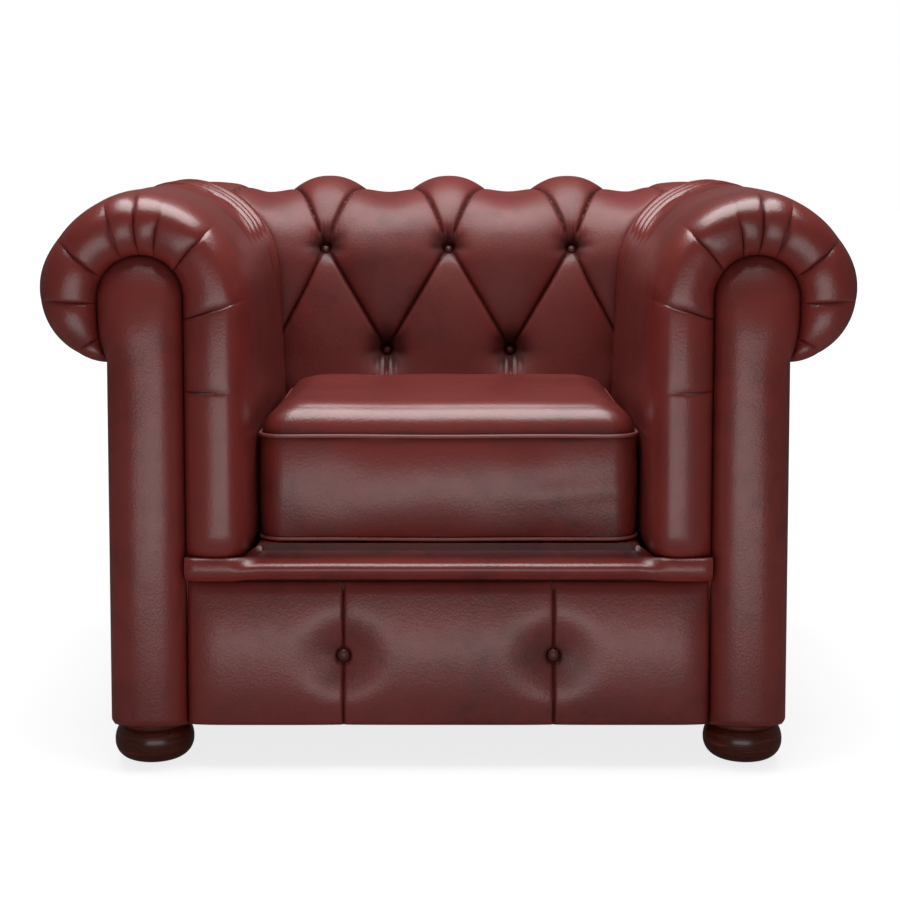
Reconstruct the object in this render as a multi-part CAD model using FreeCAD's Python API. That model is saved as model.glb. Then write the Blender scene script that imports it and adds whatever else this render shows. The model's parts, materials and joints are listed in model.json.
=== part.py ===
"""A rolled-arm, deep-buttoned leather armchair, as the separate pieces it is built from.

Millimetres, +Z up, +Y towards the back of the chair, +X to the right of someone who faces it.
The origin is on the floor, in the middle of the chair. "left" and "right" are as seen from the front.
"""

import FreeCAD
import Part
import math
import os

V = FreeCAD.Vector
OUT = "parts"

# Overall sizes
overall_width = 1040.0
overall_depth = 900.0
overall_height = 760.0
foot_height = 55.0
seat_height = 290.5  # top of the seat platform, under the cushion
arm_thickness = 268.0  # from the sitter's side of the arm to the widest part of its roll
arm_overhang = 82.0  # from the outside arm cover to the widest part of the roll
back_thickness = 292.0
back_overhang = 80.0
half_width = overall_width / 2
front_y = -overall_depth / 2
rear_y = overall_depth / 2
seat_half_width = half_width - arm_thickness
body_half_width = half_width - arm_overhang
seat_back_y = rear_y - back_thickness  # face of the back where the upholstery starts
back_face_y = rear_y - back_overhang

# Thicknesses and clearances
gap = 0.3
leather = 2.5
flat_leather = 2.0
foam = 45.0
lining = 4.0
board = 18.0
tuft_thickness = 50.0
back_foam = 22.0

# The arm's outline seen from the front, at the front end and at the back end
upholstery_drop = 22.5  # where the arms' and the back's leather tucks in, below the seat platform
upholstery_bottom = seat_height - upholstery_drop
arm_drop = 11.0  # how much lower the front of the arm is than the back
arm_height = overall_height - arm_drop
front_inner_radius = 145.0
front_roll_drop = 2.0
under_radius = 92.0
back_inner_radius = 150.0
back_end_lean = 4.0

# The back's outline seen from the side
back_lean = 6.0
back_roll_radius = 105.0
back_roll_y = rear_y - back_roll_radius

# The outside corners between the rolls
back_corner_radius = 95.0
corner_clearance = 1.0

# The front of the arm
scroll_set_back = 45.0
scroll_front_y = front_y + scroll_set_back
border_depth = 39.0
facing_width = 99.0
facing_inner_x = body_half_width - facing_width
facing_head_radius = 55.0
facing_head_inset = 43.0
facing_head_x = body_half_width - facing_head_inset
facing_head_drop = 148.0
facing_head_z = overall_height - facing_head_drop
facing_waist = 5.0  # how far the facing's outer edge is drawn in under its head
facing_corner = 12.0
facing_fillet = 20.0
facing_board = 8.0
facing_board_inset = 3.0

# The pleated border, from the seat up the inside of the arm and round the scroll
border_turn = 248.0  # degrees round the scroll head
border_pleats = (0.31, 0.46, 0.57, 0.635, 0.67, 0.705, 0.78, 0.86, 0.94)  # shares of its length
border_end = 0.985
pleat_pinch = 6.5
pleat_share = 0.012
border_rests = (0.0, 0.15, 0.515, 0.74, 0.82, 0.9)
border_full_width = 75.0  # the border keeps its full depth down to this width

# Buttons
button_pitch = 200.0
button_radius = 8.0
button_height = 6.0
button_rim = 2.0
button_depth = 36.0
crease_depth = 15.0
seat_crown = 1.0  # how far the leather rises in the middle of a button's seat
lower_row_rise = 196.5
upper_row_drop = 104.0
roll_row_drop = 60.0
lower_row_z = seat_height + lower_row_rise
upper_row_z = overall_height - upper_row_drop
roll_row_z = overall_height - roll_row_drop
front_button_x = 136.0
front_button_z = 148.0

# Wooden frame
rail_thickness = 28.0
seat_rail_drop = 75.5
seat_rail_top = seat_height - seat_rail_drop
front_rail_thickness = 45.0
post_thickness = 45.0
back_post_depth = 68.0
top_rail_size = 45.0
top_rail_drop = 182.0
top_rail_bottom = overall_height - top_rail_drop
tuck_rail_height = 38.0
tuck_rail_drop = 28.5
tuck_rail_bottom = seat_height - tuck_rail_drop
wood_set_back = 14.0
wood_half_width = body_half_width - wood_set_back
former_xs = (-160.0, 0.0, 160.0)
block_leg = 60.0
block_height = 62.0

# Suspension and seat platform
strap_width = 50.0
strap_thickness = 2.0
length_strap_xs = (-200.0, -120.0, -40.0, 40.0, 120.0, 200.0)
cross_strap_count = 6
hessian_thickness = 1.0
dust_cover_thickness = 1.0
dust_cover_clearance = 2.0

# Front border and lip
border_bulge = 26.0
border_dimple = 6.0  # how far the border stands out from its board at a button
border_end_width = 16.0
border_swell_width = 55.0
crease_half_width = 48.0
lip_height = 46.0
lip_bottom = seat_height - lip_height
lip_set_back = 16.0
lip_front_y = front_y + lip_set_back
lip_round = 9.0

# Loose cushion
cushion_side_gap = 4.5
cushion_set_back = 70.0
cushion_back_gap = 8.0
cushion_half_width = seat_half_width - cushion_side_gap
cushion_front_y = front_y + cushion_set_back
cushion_back_y = seat_back_y - cushion_back_gap
cushion_corner = 34.0
cushion_bottom = seat_height + gap
boxing_height = 138.0
crown_height = 20.0
boxing_bulge = 7.0
piping_radius = 2.7
cover_wall = 2.0
zip_margin = 47.5
zip_length = 2 * (cushion_half_width - zip_margin)
zip_tape_width = 22.0
zip_tape_thickness = 1.0
zip_coil_width = 5.0
zip_coil_height = 2.2
slider_length = 12.0
slider_wall = 1.4
slider_gap = 0.3
pull_length = 26.0
pull_width = 5.0
pull_thickness = 1.4
loop_height = 2.4

# Feet
foot_inset = 132.0
front_foot_set_back = 74.0
foot_radius = 51.5
foot_neck_radius = 44.0
foot_base_radius = 26.0
foot_x = half_width - foot_inset
front_foot_y = front_y + front_foot_set_back
back_foot_y = back_face_y - foot_radius
glide_radius = 18.0
glide_thickness = 4.0
bolt_radius = 4.0
bolt_clearance = 0.1
bolt_length = 75.0
bolt_in_foot = 32.0

SIDES = {"left": -1, "right": 1}


def line(a, b):
    return Part.makeLine(a, b)


def arc(a, middle, b):
    return Part.Arc(a, middle, b).toShape()


def box(x0, x1, y0, y1, z0, z1):
    """A box between two corners, whichever way round each pair is given."""
    x0, x1 = sorted((x0, x1))
    y0, y1 = sorted((y0, y1))
    z0, z1 = sorted((z0, z1))
    return Part.makeBox(x1 - x0, y1 - y0, z1 - z0, V(x0, y0, z0))


def prism(points, direction):
    """A flat polygon pushed along a direction."""
    closed = list(points) + [points[0]]
    return Part.Face(Part.makePolygon(closed)).extrude(direction)


def save(name, *solids):
    """Writes one sub-part. Several solids under one name are identical or belong together."""
    shape = solids[0] if len(solids) == 1 else Part.makeCompound(list(solids))
    count = len(shape.Solids)
    volume = sum(s.Volume for s in shape.Solids)
    if count == 0 or volume <= 0 or not shape.isValid():
        raise ValueError("bad solid: " + name)
    shape.exportStep(os.path.join(OUT, name + ".step"))
    print("%-28s solids %2d  litres %8.4f" % (name, count, volume / 1e6))


class RollProfile:
    """The outline of a rolled arm or back, in (h, z), where h grows away from the sitter.

    A leaning face rises from the seat to a large arc, a smaller arc turns over the top, a short
    straight drops down the outside, and a last arc tucks under the roll to the outer face.
    """

    def __init__(self, lean, centre_h, top_z, inner_radius, roll_radius, drop, tuck_radius, outer_h):
        self.lean = math.radians(lean)
        self.centre_h = centre_h
        self.top_z = top_z
        self.inner_radius = inner_radius
        self.roll_radius = roll_radius
        self.drop = drop
        self.tuck_radius = tuck_radius
        self.outer_h = outer_h

    def parts(self, inset, foot_z):
        """The outline moved inwards by inset, as lines ("line", a, b) and arcs ("arc", a, middle, b)."""
        c_h, lean = self.centre_h, self.lean
        c_z = self.top_z - self.inner_radius
        r1 = self.inner_radius - inset
        start = (c_h - r1 * math.cos(lean), c_z + r1 * math.sin(lean))
        foot = (start[0] - math.tan(lean) * (start[1] - foot_z), foot_z)
        middle_1 = (math.pi / 2 + math.pi - lean) / 2
        top = (c_h, c_z + r1)
        r2 = self.roll_radius - inset
        c2_z = self.top_z - self.roll_radius
        side = (c_h + r2, c2_z)
        low = (side[0], c2_z - self.drop)
        r3 = self.tuck_radius - inset
        c3_h = c_h + self.roll_radius - self.tuck_radius
        last = math.acos((self.outer_h - c3_h) / r3)
        end = (self.outer_h, low[1] - r3 * math.sin(last))
        eighth = math.pi / 4
        return [
            ("line", foot, start),
            ("arc", start, (c_h + r1 * math.cos(middle_1), c_z + r1 * math.sin(middle_1)), top),
            ("arc", top, (c_h + r2 * math.cos(eighth), c2_z + r2 * math.sin(eighth)), side),
            ("line", side, low),
            ("arc", low, (c3_h + r3 * math.cos(last / 2), low[1] - r3 * math.sin(last / 2)), end),
        ]

    def edges(self, inset, foot_z, place):
        """The outline as edges, with place turning (h, z) into a point in space."""
        made = []
        for part in self.parts(inset, foot_z):
            points = [place(*p) for p in part[1:]]
            made.append(line(*points) if part[0] == "line" else arc(*points))
        return made

    def region(self, inset, foot_z, tail, place):
        """A closed wire round everything inside the outline, finished by the points in tail."""
        parts = self.parts(inset, foot_z)
        corners = [parts[-1][-1]] + list(tail) + [parts[0][1]]
        edges = self.edges(inset, foot_z, place)
        edges += [line(place(*a), place(*b)) for a, b in zip(corners, corners[1:])]
        return Part.Wire(Part.__sortEdges__(edges))

    def along(self, distance, foot_z):
        """The point at a distance along the outline from its foot, and the outward normal there."""
        c_h, lean = self.centre_h, self.lean
        c_z = self.top_z - self.inner_radius
        parts = self.parts(0.0, foot_z)
        foot, start = parts[0][1], parts[0][2]
        lengths = self.lengths(foot_z)
        if distance <= lengths[0]:
            share = distance / lengths[0]
            h = foot[0] + (start[0] - foot[0]) * share
            z = foot[1] + (start[1] - foot[1]) * share
            return h, z, -math.cos(lean), math.sin(lean)
        distance -= lengths[0]
        if distance <= lengths[1]:
            angle = math.pi - lean - distance / self.inner_radius
            n_h, n_z = math.cos(angle), math.sin(angle)
            return c_h + self.inner_radius * n_h, c_z + self.inner_radius * n_z, n_h, n_z
        distance -= lengths[1]
        c2_z = self.top_z - self.roll_radius
        if distance <= lengths[2]:
            angle = math.pi / 2 - distance / self.roll_radius
            n_h, n_z = math.cos(angle), math.sin(angle)
            return c_h + self.roll_radius * n_h, c2_z + self.roll_radius * n_z, n_h, n_z
        distance -= lengths[2]
        if distance <= lengths[3]:
            return c_h + self.roll_radius, c2_z - distance, 1.0, 0.0
        distance -= lengths[3]
        angle = -distance / self.tuck_radius
        n_h, n_z = math.cos(angle), math.sin(angle)
        c3_h = c_h + self.roll_radius - self.tuck_radius
        c3_z = c2_z - self.drop
        return c3_h + self.tuck_radius * n_h, c3_z + self.tuck_radius * n_z, n_h, n_z

    def lengths(self, foot_z):
        """The length of each of the five pieces of the outline."""
        parts = self.parts(0.0, foot_z)
        foot, start = parts[0][1], parts[0][2]
        c3_h = self.centre_h + self.roll_radius - self.tuck_radius
        last = math.acos((self.outer_h - c3_h) / self.tuck_radius)
        return [
            math.hypot(start[0] - foot[0], start[1] - foot[1]),
            self.inner_radius * (math.pi / 2 - self.lean),
            self.roll_radius * math.pi / 2,
            self.drop,
            self.tuck_radius * last,
        ]


lining_outer = leather + foam + 2 * gap
front_roll_centre = seat_half_width + front_inner_radius
front_profile = RollProfile(
    0.0,
    front_roll_centre,
    arm_height,
    front_inner_radius,
    half_width - front_roll_centre,
    front_roll_drop,
    under_radius,
    body_half_width,
)
under_z = front_profile.parts(0.0, upholstery_bottom)[3][2][1]  # where every roll starts to tuck under


def centre_for_foot(foot_h, lean, top_z, radius):
    """The roll's centre that puts the leaning face's foot at foot_h."""
    angle = math.radians(lean)
    rise = top_z - radius + radius * math.sin(angle) - upholstery_bottom
    return foot_h + radius * math.cos(angle) + math.tan(angle) * rise


rear_roll_centre = centre_for_foot(seat_half_width, back_end_lean, overall_height, back_inner_radius)
rear_roll_radius = half_width - rear_roll_centre
rear_profile = RollProfile(
    back_end_lean,
    rear_roll_centre,
    overall_height,
    back_inner_radius,
    rear_roll_radius,
    overall_height - rear_roll_radius - under_z,
    under_radius,
    body_half_width,
)
back_inner_roll = back_roll_y - seat_back_y
back_rise = overall_height - upholstery_bottom
lean_angle = math.radians(back_lean)
back_radius = (back_inner_roll - math.tan(lean_angle) * back_rise) / (
    math.cos(lean_angle) + math.tan(lean_angle) * (math.sin(lean_angle) - 1.0)
)
back_profile = RollProfile(
    back_lean,
    back_roll_y,
    overall_height,
    back_radius,
    back_roll_radius,
    overall_height - back_roll_radius - under_z,
    under_radius,
    back_face_y,
)

# The mitre runs from the inside corner of the seat to the outside corner of the rolls.
mitre_slope = (rear_y - seat_back_y) / (half_width - seat_half_width)


def mitre_x(y):
    return seat_half_width + (y - seat_back_y) / mitre_slope


def mitre_y(x):
    return seat_back_y + (x - seat_half_width) * mitre_slope


def arm_side_of_mitre(side):
    """Everything on the arm's side of the back corner, for cutting the arm's sleeves."""
    near, far = 0.0, half_width * 2
    corners = [
        V(side * near, front_y * 2, 0),
        V(side * far, front_y * 2, 0),
        V(side * far, mitre_y(far) - gap, 0),
        V(side * near, mitre_y(near) - gap, 0),
    ]
    return prism(corners, V(0, 0, overall_height * 2))


def plan_prism(inset):
    """The chair's outline seen from above, with its back corners rounded, moved inwards by inset."""
    x1 = half_width + corner_clearance - inset
    y0, y1 = front_y, rear_y + corner_clearance - inset
    radius = back_corner_radius - inset
    bend = radius * (1 - math.sqrt(0.5))
    edges = [
        line(V(-x1, y0, 0), V(x1, y0, 0)),
        line(V(x1, y0, 0), V(x1, y1 - radius, 0)),
        arc(V(x1, y1 - radius, 0), V(x1 - bend, y1 - bend, 0), V(x1 - radius, y1, 0)),
        line(V(x1 - radius, y1, 0), V(-x1 + radius, y1, 0)),
        arc(V(-x1 + radius, y1, 0), V(-x1 + bend, y1 - bend, 0), V(-x1, y1 - radius, 0)),
        line(V(-x1, y1 - radius, 0), V(-x1, y0, 0)),
    ]
    return Part.Face(Part.Wire(edges)).extrude(V(0, 0, overall_height * 2))


def arm_solid(side, inset):
    """The whole arm above the seat rails, moved inwards by inset, back to the mitred corner."""
    def wire(profile, y):
        tail = [(body_half_width, upholstery_bottom)]
        return profile.region(inset, upholstery_bottom, tail, lambda h, z: V(side * h, y, z))

    ends = [wire(front_profile, scroll_front_y), wire(rear_profile, rear_y)]
    return Part.makeLoft(ends, True, True).common(plan_prism(inset)).common(arm_side_of_mitre(side))


def arm_sleeve(side, outer, inner):
    """The layer of the arm between two insets."""
    return arm_solid(side, outer).cut(arm_solid(side, inner))


def back_side_of_mitre():
    """Everything between the two mitres, for cutting the back's sleeves."""
    near, far = back_face_y - overall_depth, rear_y + overall_depth
    corners = [
        V(-mitre_x(near) + gap, near, 0),
        V(mitre_x(near) - gap, near, 0),
        V(mitre_x(far) - gap, far, 0),
        V(-mitre_x(far) + gap, far, 0),
    ]
    return prism(corners, V(0, 0, overall_height * 2))


def back_solid(inset):
    """The whole back above the seat rails, moved inwards by inset, as long as the chair is wide."""
    tail = [(back_face_y, upholstery_bottom)]
    outline = back_profile.region(inset, upholstery_bottom, tail, lambda y, z: V(-half_width, y, z))
    return Part.Face(outline).extrude(V(overall_width, 0, 0))


def back_sleeve(outer, inner):
    """The layer of the back between two insets, mitred at both ends."""
    solids = [back_solid(inset).common(plan_prism(inset)) for inset in (outer, inner)]
    return solids[0].cut(solids[1]).common(back_side_of_mitre())


def make_arm_upholstery(side, name):
    """The cover, the foam and the bent lining board of one arm, nested inside each other."""
    foam_outer = leather + gap
    save("inside_arm_cover_" + name, arm_sleeve(side, 0.0, leather))
    save("arm_foam_" + name, arm_sleeve(side, foam_outer, leather + foam))
    save("arm_lining_board_" + name, arm_sleeve(side, lining_outer, lining_outer + lining))


def facing_outline(side, y, inset):
    """The keyhole outline of the front of the arm: a straight post with a round scroll head."""
    inner_x = facing_inner_x + inset
    outer_x = body_half_width - inset
    low = foot_height + inset
    corner = facing_corner
    radius = facing_head_radius - inset
    left = facing_head_x - radius
    right = facing_head_x + radius
    neck_z = front_profile.parts(0.0, upholstery_bottom)[-1][-1][1]
    waist = ((right + outer_x) / 2 + facing_waist, (facing_head_z + neck_z) / 2)

    def at(x, z):
        return V(side * x, y, z)

    bend = corner * (1 - math.sqrt(0.5))
    edges = [
        line(at(inner_x, low), at(left, facing_head_z)),
        arc(at(left, facing_head_z), at(facing_head_x, facing_head_z + radius), at(right, facing_head_z)),
        arc(at(right, facing_head_z), at(*waist), at(outer_x, neck_z)),
        line(at(outer_x, neck_z), at(outer_x, low + corner)),
        arc(at(outer_x, low + corner), at(outer_x - bend, low + bend), at(outer_x - corner, low)),
        line(at(outer_x - corner, low), at(inner_x, low)),
    ]
    return Part.Wire(Part.__sortEdges__(edges))


def make_facing(side, name):
    """The padded panel that covers the front of the arm, and the thin board it is wrapped on."""
    back_y = scroll_front_y - facing_board
    thin = Part.Face(facing_outline(side, scroll_front_y, facing_board_inset)).extrude(V(0, -facing_board, 0))
    pad_back = back_y - gap
    pad = Part.Face(facing_outline(side, pad_back, 0.0)).extrude(V(0, front_y - pad_back, 0))
    rim = [e for e in pad.Edges if e.BoundBox.YMax < front_y + 1e-6]
    save("facing_board_" + name, thin)
    save("arm_facing_" + name, pad.makeFillet(facing_fillet, rim))


def border_station(share):
    """The inner and outer ends of the pleated border at a share of its length, in (x, z).

    The border climbs the inside of the arm, turns round the scroll head and dies out under the roll.
    """
    climb = facing_head_z - upholstery_bottom
    turn = math.radians(border_turn)
    length = climb + turn * (facing_head_radius + border_depth)
    travelled = share * length
    parts = front_profile.parts(0.0, upholstery_bottom)
    if travelled <= climb:
        z = upholstery_bottom + travelled
        head_x = facing_head_x - facing_head_radius
        edge_x = facing_inner_x + (head_x - facing_inner_x) * travelled / climb
        return (edge_x - gap, z), (seat_half_width, z)
    angle = math.pi - turn * (travelled - climb) / (length - climb)
    cos_a, sin_a = math.cos(angle), math.sin(angle)
    inner_radius = facing_head_radius + gap
    inner = (facing_head_x + inner_radius * cos_a, facing_head_z + inner_radius * sin_a)
    centre_z = arm_height - front_inner_radius
    if angle >= math.pi / 2:
        centre, radius = (front_roll_centre, centre_z), front_inner_radius
    elif angle >= 0:
        roll = half_width - front_roll_centre
        centre, radius = (front_roll_centre, arm_height - roll), roll
    else:
        centre, radius = (half_width - under_radius, parts[3][2][1]), under_radius
    d_x, d_z = facing_head_x - centre[0], facing_head_z - centre[1]
    along = d_x * cos_a + d_z * sin_a
    reach = -along + math.sqrt(along * along - (d_x * d_x + d_z * d_z - radius * radius))
    return inner, (facing_head_x + reach * cos_a, facing_head_z + reach * sin_a)


def border_section(side, inner, outer, depth):
    """One section of the border: flat against the scroll board, rounded to the front."""
    def at(share, forward):
        x = inner[0] + (outer[0] - inner[0]) * share
        z = inner[1] + (outer[1] - inner[1]) * share
        return V(side * x, scroll_front_y - forward, z)

    crest = at(0.5, depth)
    edges = [
        arc(at(0.0, 0.0), at(0.1, depth * 0.7), crest),
        arc(crest, at(0.9, depth * 0.7), at(1.0, 0.0)),
        line(at(1.0, 0.0), at(0.0, 0.0)),
    ]
    return Part.Wire(Part.__sortEdges__(edges))


def make_border(side, name):
    """The pleated border of the arm: pinched at each pleat and full between them."""
    stations = [(share, 0.0) for share in border_rests] + [(border_end, pleat_pinch)]
    for share in border_pleats:
        stations += [(share - pleat_share, 0.0), (share, pleat_pinch), (share + pleat_share, 0.0)]
    wires = []
    for share, pinch in sorted(stations):
        inner, outer = border_station(share)
        width = math.hypot(outer[0] - inner[0], outer[1] - inner[1])
        depth = border_depth * min(1.0, width / border_full_width) - pinch
        wires.append(border_section(side, inner, outer, depth))
    border = Part.makeLoft(wires, True, True)
    hole = Part.Face(facing_outline(side, scroll_front_y + gap, -gap))
    save("pleated_arm_border_" + name, border.cut(hole.extrude(V(0, front_y - scroll_front_y, 0))))


class Tufting:
    """The deep buttoning of the back: rows of buttons joined by diagonal creases."""

    def __init__(self):
        self.foot_z = upholstery_bottom
        lengths = back_profile.lengths(self.foot_z)
        self.total = sum(lengths)
        self.lower = self.distance_to(lower_row_z, 0.0, lengths[0] + lengths[1])
        self.upper = self.distance_to(upper_row_z, 0.0, lengths[0] + lengths[1])
        top = lengths[0] + lengths[1]
        self.roll = self.distance_to(roll_row_z, top, self.total, falling=True)
        self.half_button = button_radius + 1.0

    def distance_to(self, z, low, high, falling=False):
        """How far along the outline a height lies, between two distances."""
        for _ in range(50):
            middle = (low + high) / 2
            below = back_profile.along(middle, self.foot_z)[1] < z
            if below != falling:
                low = middle
            else:
                high = middle
        return low

    def rows(self):
        """Each row of buttons: its distance along the outline and the buttons' places across."""
        half = button_pitch / 2
        outer = button_pitch * 1.5
        return [
            (self.lower, (-half, half)),
            (self.upper, (-button_pitch, 0.0, button_pitch)),
            (self.roll, (-outer, -half, half, outer)),
        ]

    def share(self, distance):
        """Which stretch between rows a distance lies in, and how far along it."""
        if distance <= self.lower:
            return "seat", distance / self.lower
        if distance <= self.upper:
            return "face", (distance - self.lower) / (self.upper - self.lower)
        if distance <= self.roll:
            return "roll", (distance - self.upper) / (self.roll - self.upper)
        return "tail", (distance - self.roll) / (self.total - self.roll)

    def creases(self, distance, half_span):
        """The six creases across the back at a distance, from left to right."""
        stretch, t = self.share(distance)
        half, pitch, small = button_pitch / 2, button_pitch, self.half_button
        if stretch == "seat":
            stretch, t = "face", 0.0
        if stretch == "tail":
            stretch, t = "roll", 1.0
        if stretch == "face":
            first = max(pitch + small, 1.5 * pitch - half * t)
            second = min(max(half + half * t, half + small), pitch - small)
        else:
            first = pitch + max(half * t, small)
            second = min(max(pitch - half * t, half + small), pitch - small)
        third = half - half * t if stretch == "face" else half * t
        third = min(max(third, small), half - small)
        first = min(first, half_span - 1.5 * small)
        return [-first, -second, -third, third, second, first]

    def depth(self, distance):
        """How deep the creases lie: deepest at the buttons and shallow half way between rows."""
        stretch, t = self.share(distance)
        small = self.half_button / (self.upper - self.lower)
        if stretch == "seat":
            return crease_depth + (button_depth - crease_depth) * max(0.0, (t - 0.5) * 2) ** 1.5
        if stretch == "tail":
            return crease_depth + (button_depth - crease_depth) * max(0.0, 1 - t * 2) ** 1.5
        pull = min(1.0, abs(2 * t - 1) / (1 - 2 * small))
        return crease_depth + (button_depth - crease_depth) * pull ** 1.5

    def stations(self):
        """Distances along the outline at which a section is made."""
        small = self.half_button
        places = [0.0, self.lower * 0.55, self.lower * 0.85]
        for row, _ in self.rows():
            places += [row - small, row + small]
        for a, b, shares in (
            (self.lower, self.upper, (0.25, 0.5, 0.75)),
            (self.upper, self.roll, (0.2, 0.4, 0.6, 0.8)),
            (self.roll, self.total, (0.3, 0.65, 1.0)),
        ):
            places += [a + (b - a) * s for s in shares]
        return sorted(places)

    def row_near(self, distance):
        """The row that a section belongs to, so that a button's seat is level, or the distance."""
        for row, _ in self.rows():
            if abs(distance - row) <= self.half_button + 1e-6:
                return row
        return distance

    def section(self, distance):
        """One section across the back: scalloped to the front and flat behind."""
        y, z, n_y, n_z = back_profile.along(distance, self.foot_z)
        pattern = self.row_near(distance)
        deep = self.depth(pattern)

        def at(x, inwards):
            return V(x, y - n_y * inwards, z - n_z * inwards)

        def end(sign, inwards):
            return at(sign * (mitre_x(y - n_y * inwards) - gap), inwards)

        corner_depth = crease_depth
        half_span = mitre_x(y - n_y * corner_depth) - gap
        marks = self.creases(pattern, half_span)
        points = [end(-1, corner_depth)] + [at(c, deep) for c in marks] + [end(1, corner_depth)]
        edges = []
        for a, b in zip(points, points[1:]):
            width = b.x - a.x
            fullness = min(1.0, width / (button_pitch / 2)) ** 1.3
            mean = (deep + corner_depth) / 2 if a is points[0] or b is points[-1] else deep
            crest = min(mean * (1 - fullness), mean - seat_crown)
            if width < 3 * self.half_button:
                crest = mean - seat_crown
            edges.append(arc(a, at((a.x + b.x) / 2, crest), b))
        back_depth = tuft_thickness + button_radius
        behind = [end(1, back_depth), end(-1, back_depth)]
        corners = [points[-1], *behind, points[0]]
        edges += [line(a, b) for a, b in zip(corners, corners[1:])]
        return Part.Wire(Part.__sortEdges__(edges))


def make_button(seat, normal):
    """A domed covered button with its flat back on the seat point."""
    rise = button_height - button_rim
    dome = (button_radius ** 2 + rise ** 2) / (2 * rise)
    solid = Part.makeSphere(dome, V(0, 0, button_height - dome))
    solid = solid.common(Part.makeCylinder(button_radius, button_height))
    solid.Placement = FreeCAD.Placement(seat, FreeCAD.Rotation(V(0, 0, 1), normal))
    return solid


def make_back():
    """The buttoned inside back, its buttons, and the foam and lining board behind it."""
    tufting = Tufting()
    wires = [tufting.section(d) for d in tufting.stations()]
    tufts = Part.makeLoft(wires, True, True)
    tufts = tufts.cut(back_solid(tuft_thickness)).common(plan_prism(0.0))
    buttons = []
    for row, places in tufting.rows():
        y, z, n_y, n_z = back_profile.along(row, tufting.foot_z)
        seat_depth = button_depth - seat_crown - gap
        outwards = V(0, n_y, n_z)
        for x in places:
            seat = V(x, y - n_y * seat_depth, z - n_z * seat_depth)
            buttons.append(make_button(seat, outwards))
            pocket_start = seat - outwards * gap
            tufts = tufts.cut(Part.makeCylinder(button_radius + gap, button_depth, pocket_start, outwards))
    save("buttoned_inside_back", tufts)
    save("back_buttons", *buttons)
    foam_outer = tuft_thickness + gap
    save("back_foam", back_sleeve(foam_outer, foam_outer + back_foam))
    lining_start = foam_outer + back_foam + gap
    save("back_lining_board", back_sleeve(lining_start, lining_start + lining))


def make_outside_covers():
    """The flat leather panels of the outside arms and the outside back."""
    roll_end = front_profile.parts(0.0, upholstery_bottom)[-1][-1][1]
    top = roll_end - gap
    for name, side in SIDES.items():
        outer, inner = side * body_half_width, side * (body_half_width - flat_leather)
        plate = box(outer, inner, scroll_front_y + gap, back_face_y, foot_height, top)
        save("outside_arm_cover_" + name, plate)
    reach = body_half_width - flat_leather - gap
    inner_y = back_face_y - flat_leather
    save("outside_back_cover", box(-reach, reach, inner_y, back_face_y, foot_height, top))


post_front_y = scroll_front_y + board
post_back_y = post_front_y + post_thickness
wood_back_y = back_face_y - flat_leather
back_post_y = wood_back_y - back_post_depth
back_rail_y = wood_back_y - post_thickness
front_rail_back_y = scroll_front_y + front_rail_thickness
former_y = (front_rail_back_y + back_rail_y - board) / 2
strap_pitch = (back_rail_y - front_rail_back_y) / cross_strap_count
side_rail_x = wood_half_width - rail_thickness
length_rail_top = seat_rail_top + strap_thickness
scroll_inset = lining_outer + lining + gap
scroll_inner_x = seat_half_width + scroll_inset
tuck_rail_top = tuck_rail_bottom + tuck_rail_height
tuck_lean = math.tan(math.radians(back_end_lean)) * (tuck_rail_top - upholstery_bottom)
tuck_rail_x = scroll_inner_x + tuck_lean + gap
back_inset = tuft_thickness + back_foam + lining + 3 * gap
top_rail_top = top_rail_bottom + top_rail_size
arm_rail_x = front_roll_centre - top_rail_size / 2


def tuck_rail_y():
    """The front face of the back tuck rail, just inside the back's lining board."""
    parts = back_profile.parts(back_inset, tuck_rail_bottom)
    foot, start = parts[0][1], parts[0][2]
    share = (tuck_rail_top - foot[1]) / (start[1] - foot[1])
    return foot[0] + (start[0] - foot[0]) * share + gap


def bolt_hole(side, y):
    """The hole for a foot's bolt, through the foot and up into the post."""
    base = V(side * foot_x, y, foot_height - bolt_in_foot)
    return Part.makeCylinder(bolt_radius + bolt_clearance, bolt_length + bolt_clearance, base)


def make_seat_frame():
    """The rails round the seat, their corner blocks and the posts that stand on the feet."""
    inner = facing_inner_x
    front = box(-inner, inner, scroll_front_y, front_rail_back_y, foot_height, length_rail_top)
    save("front_seat_rail", front)
    lip_back = scroll_front_y + board
    save("lip_rail", box(-inner, inner, scroll_front_y, lip_back, length_rail_top, lip_bottom - gap))
    back_post_x = wood_half_width - post_thickness
    back = box(-back_post_x, back_post_x, back_rail_y, wood_back_y, foot_height, length_rail_top)
    save("back_seat_rail", back)
    blocks = []
    for name, side in SIDES.items():
        rail = box(side * side_rail_x, side * wood_half_width, post_back_y, back_post_y,
                   foot_height, seat_rail_top)
        save("side_seat_rail_" + name, rail)
        post = box(side * inner, side * wood_half_width, post_front_y, post_back_y,
                   foot_height, top_rail_bottom)
        save("front_post_" + name, post.cut(bolt_hole(side, front_foot_y)))
        rear = box(side * back_post_x, side * wood_half_width, back_post_y, wood_back_y,
                   foot_height, top_rail_bottom)
        save("back_post_" + name, rear.cut(bolt_hole(side, back_foot_y)))
        low = seat_rail_top - gap - block_height
        up = V(0, 0, block_height)
        blocks.append(prism([
            V(side * side_rail_x, post_back_y, low),
            V(side * (side_rail_x - block_leg + rail_thickness), post_back_y, low),
            V(side * side_rail_x, post_back_y + block_leg, low)], up))
        blocks.append(prism([
            V(side * side_rail_x, back_post_y, low),
            V(side * back_post_x, back_post_y, low),
            V(side * back_post_x, back_rail_y, low),
            V(side * (back_post_x - block_leg), back_rail_y, low),
            V(side * side_rail_x, back_post_y - block_leg, low)], up))
    save("corner_blocks", *blocks)


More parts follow.
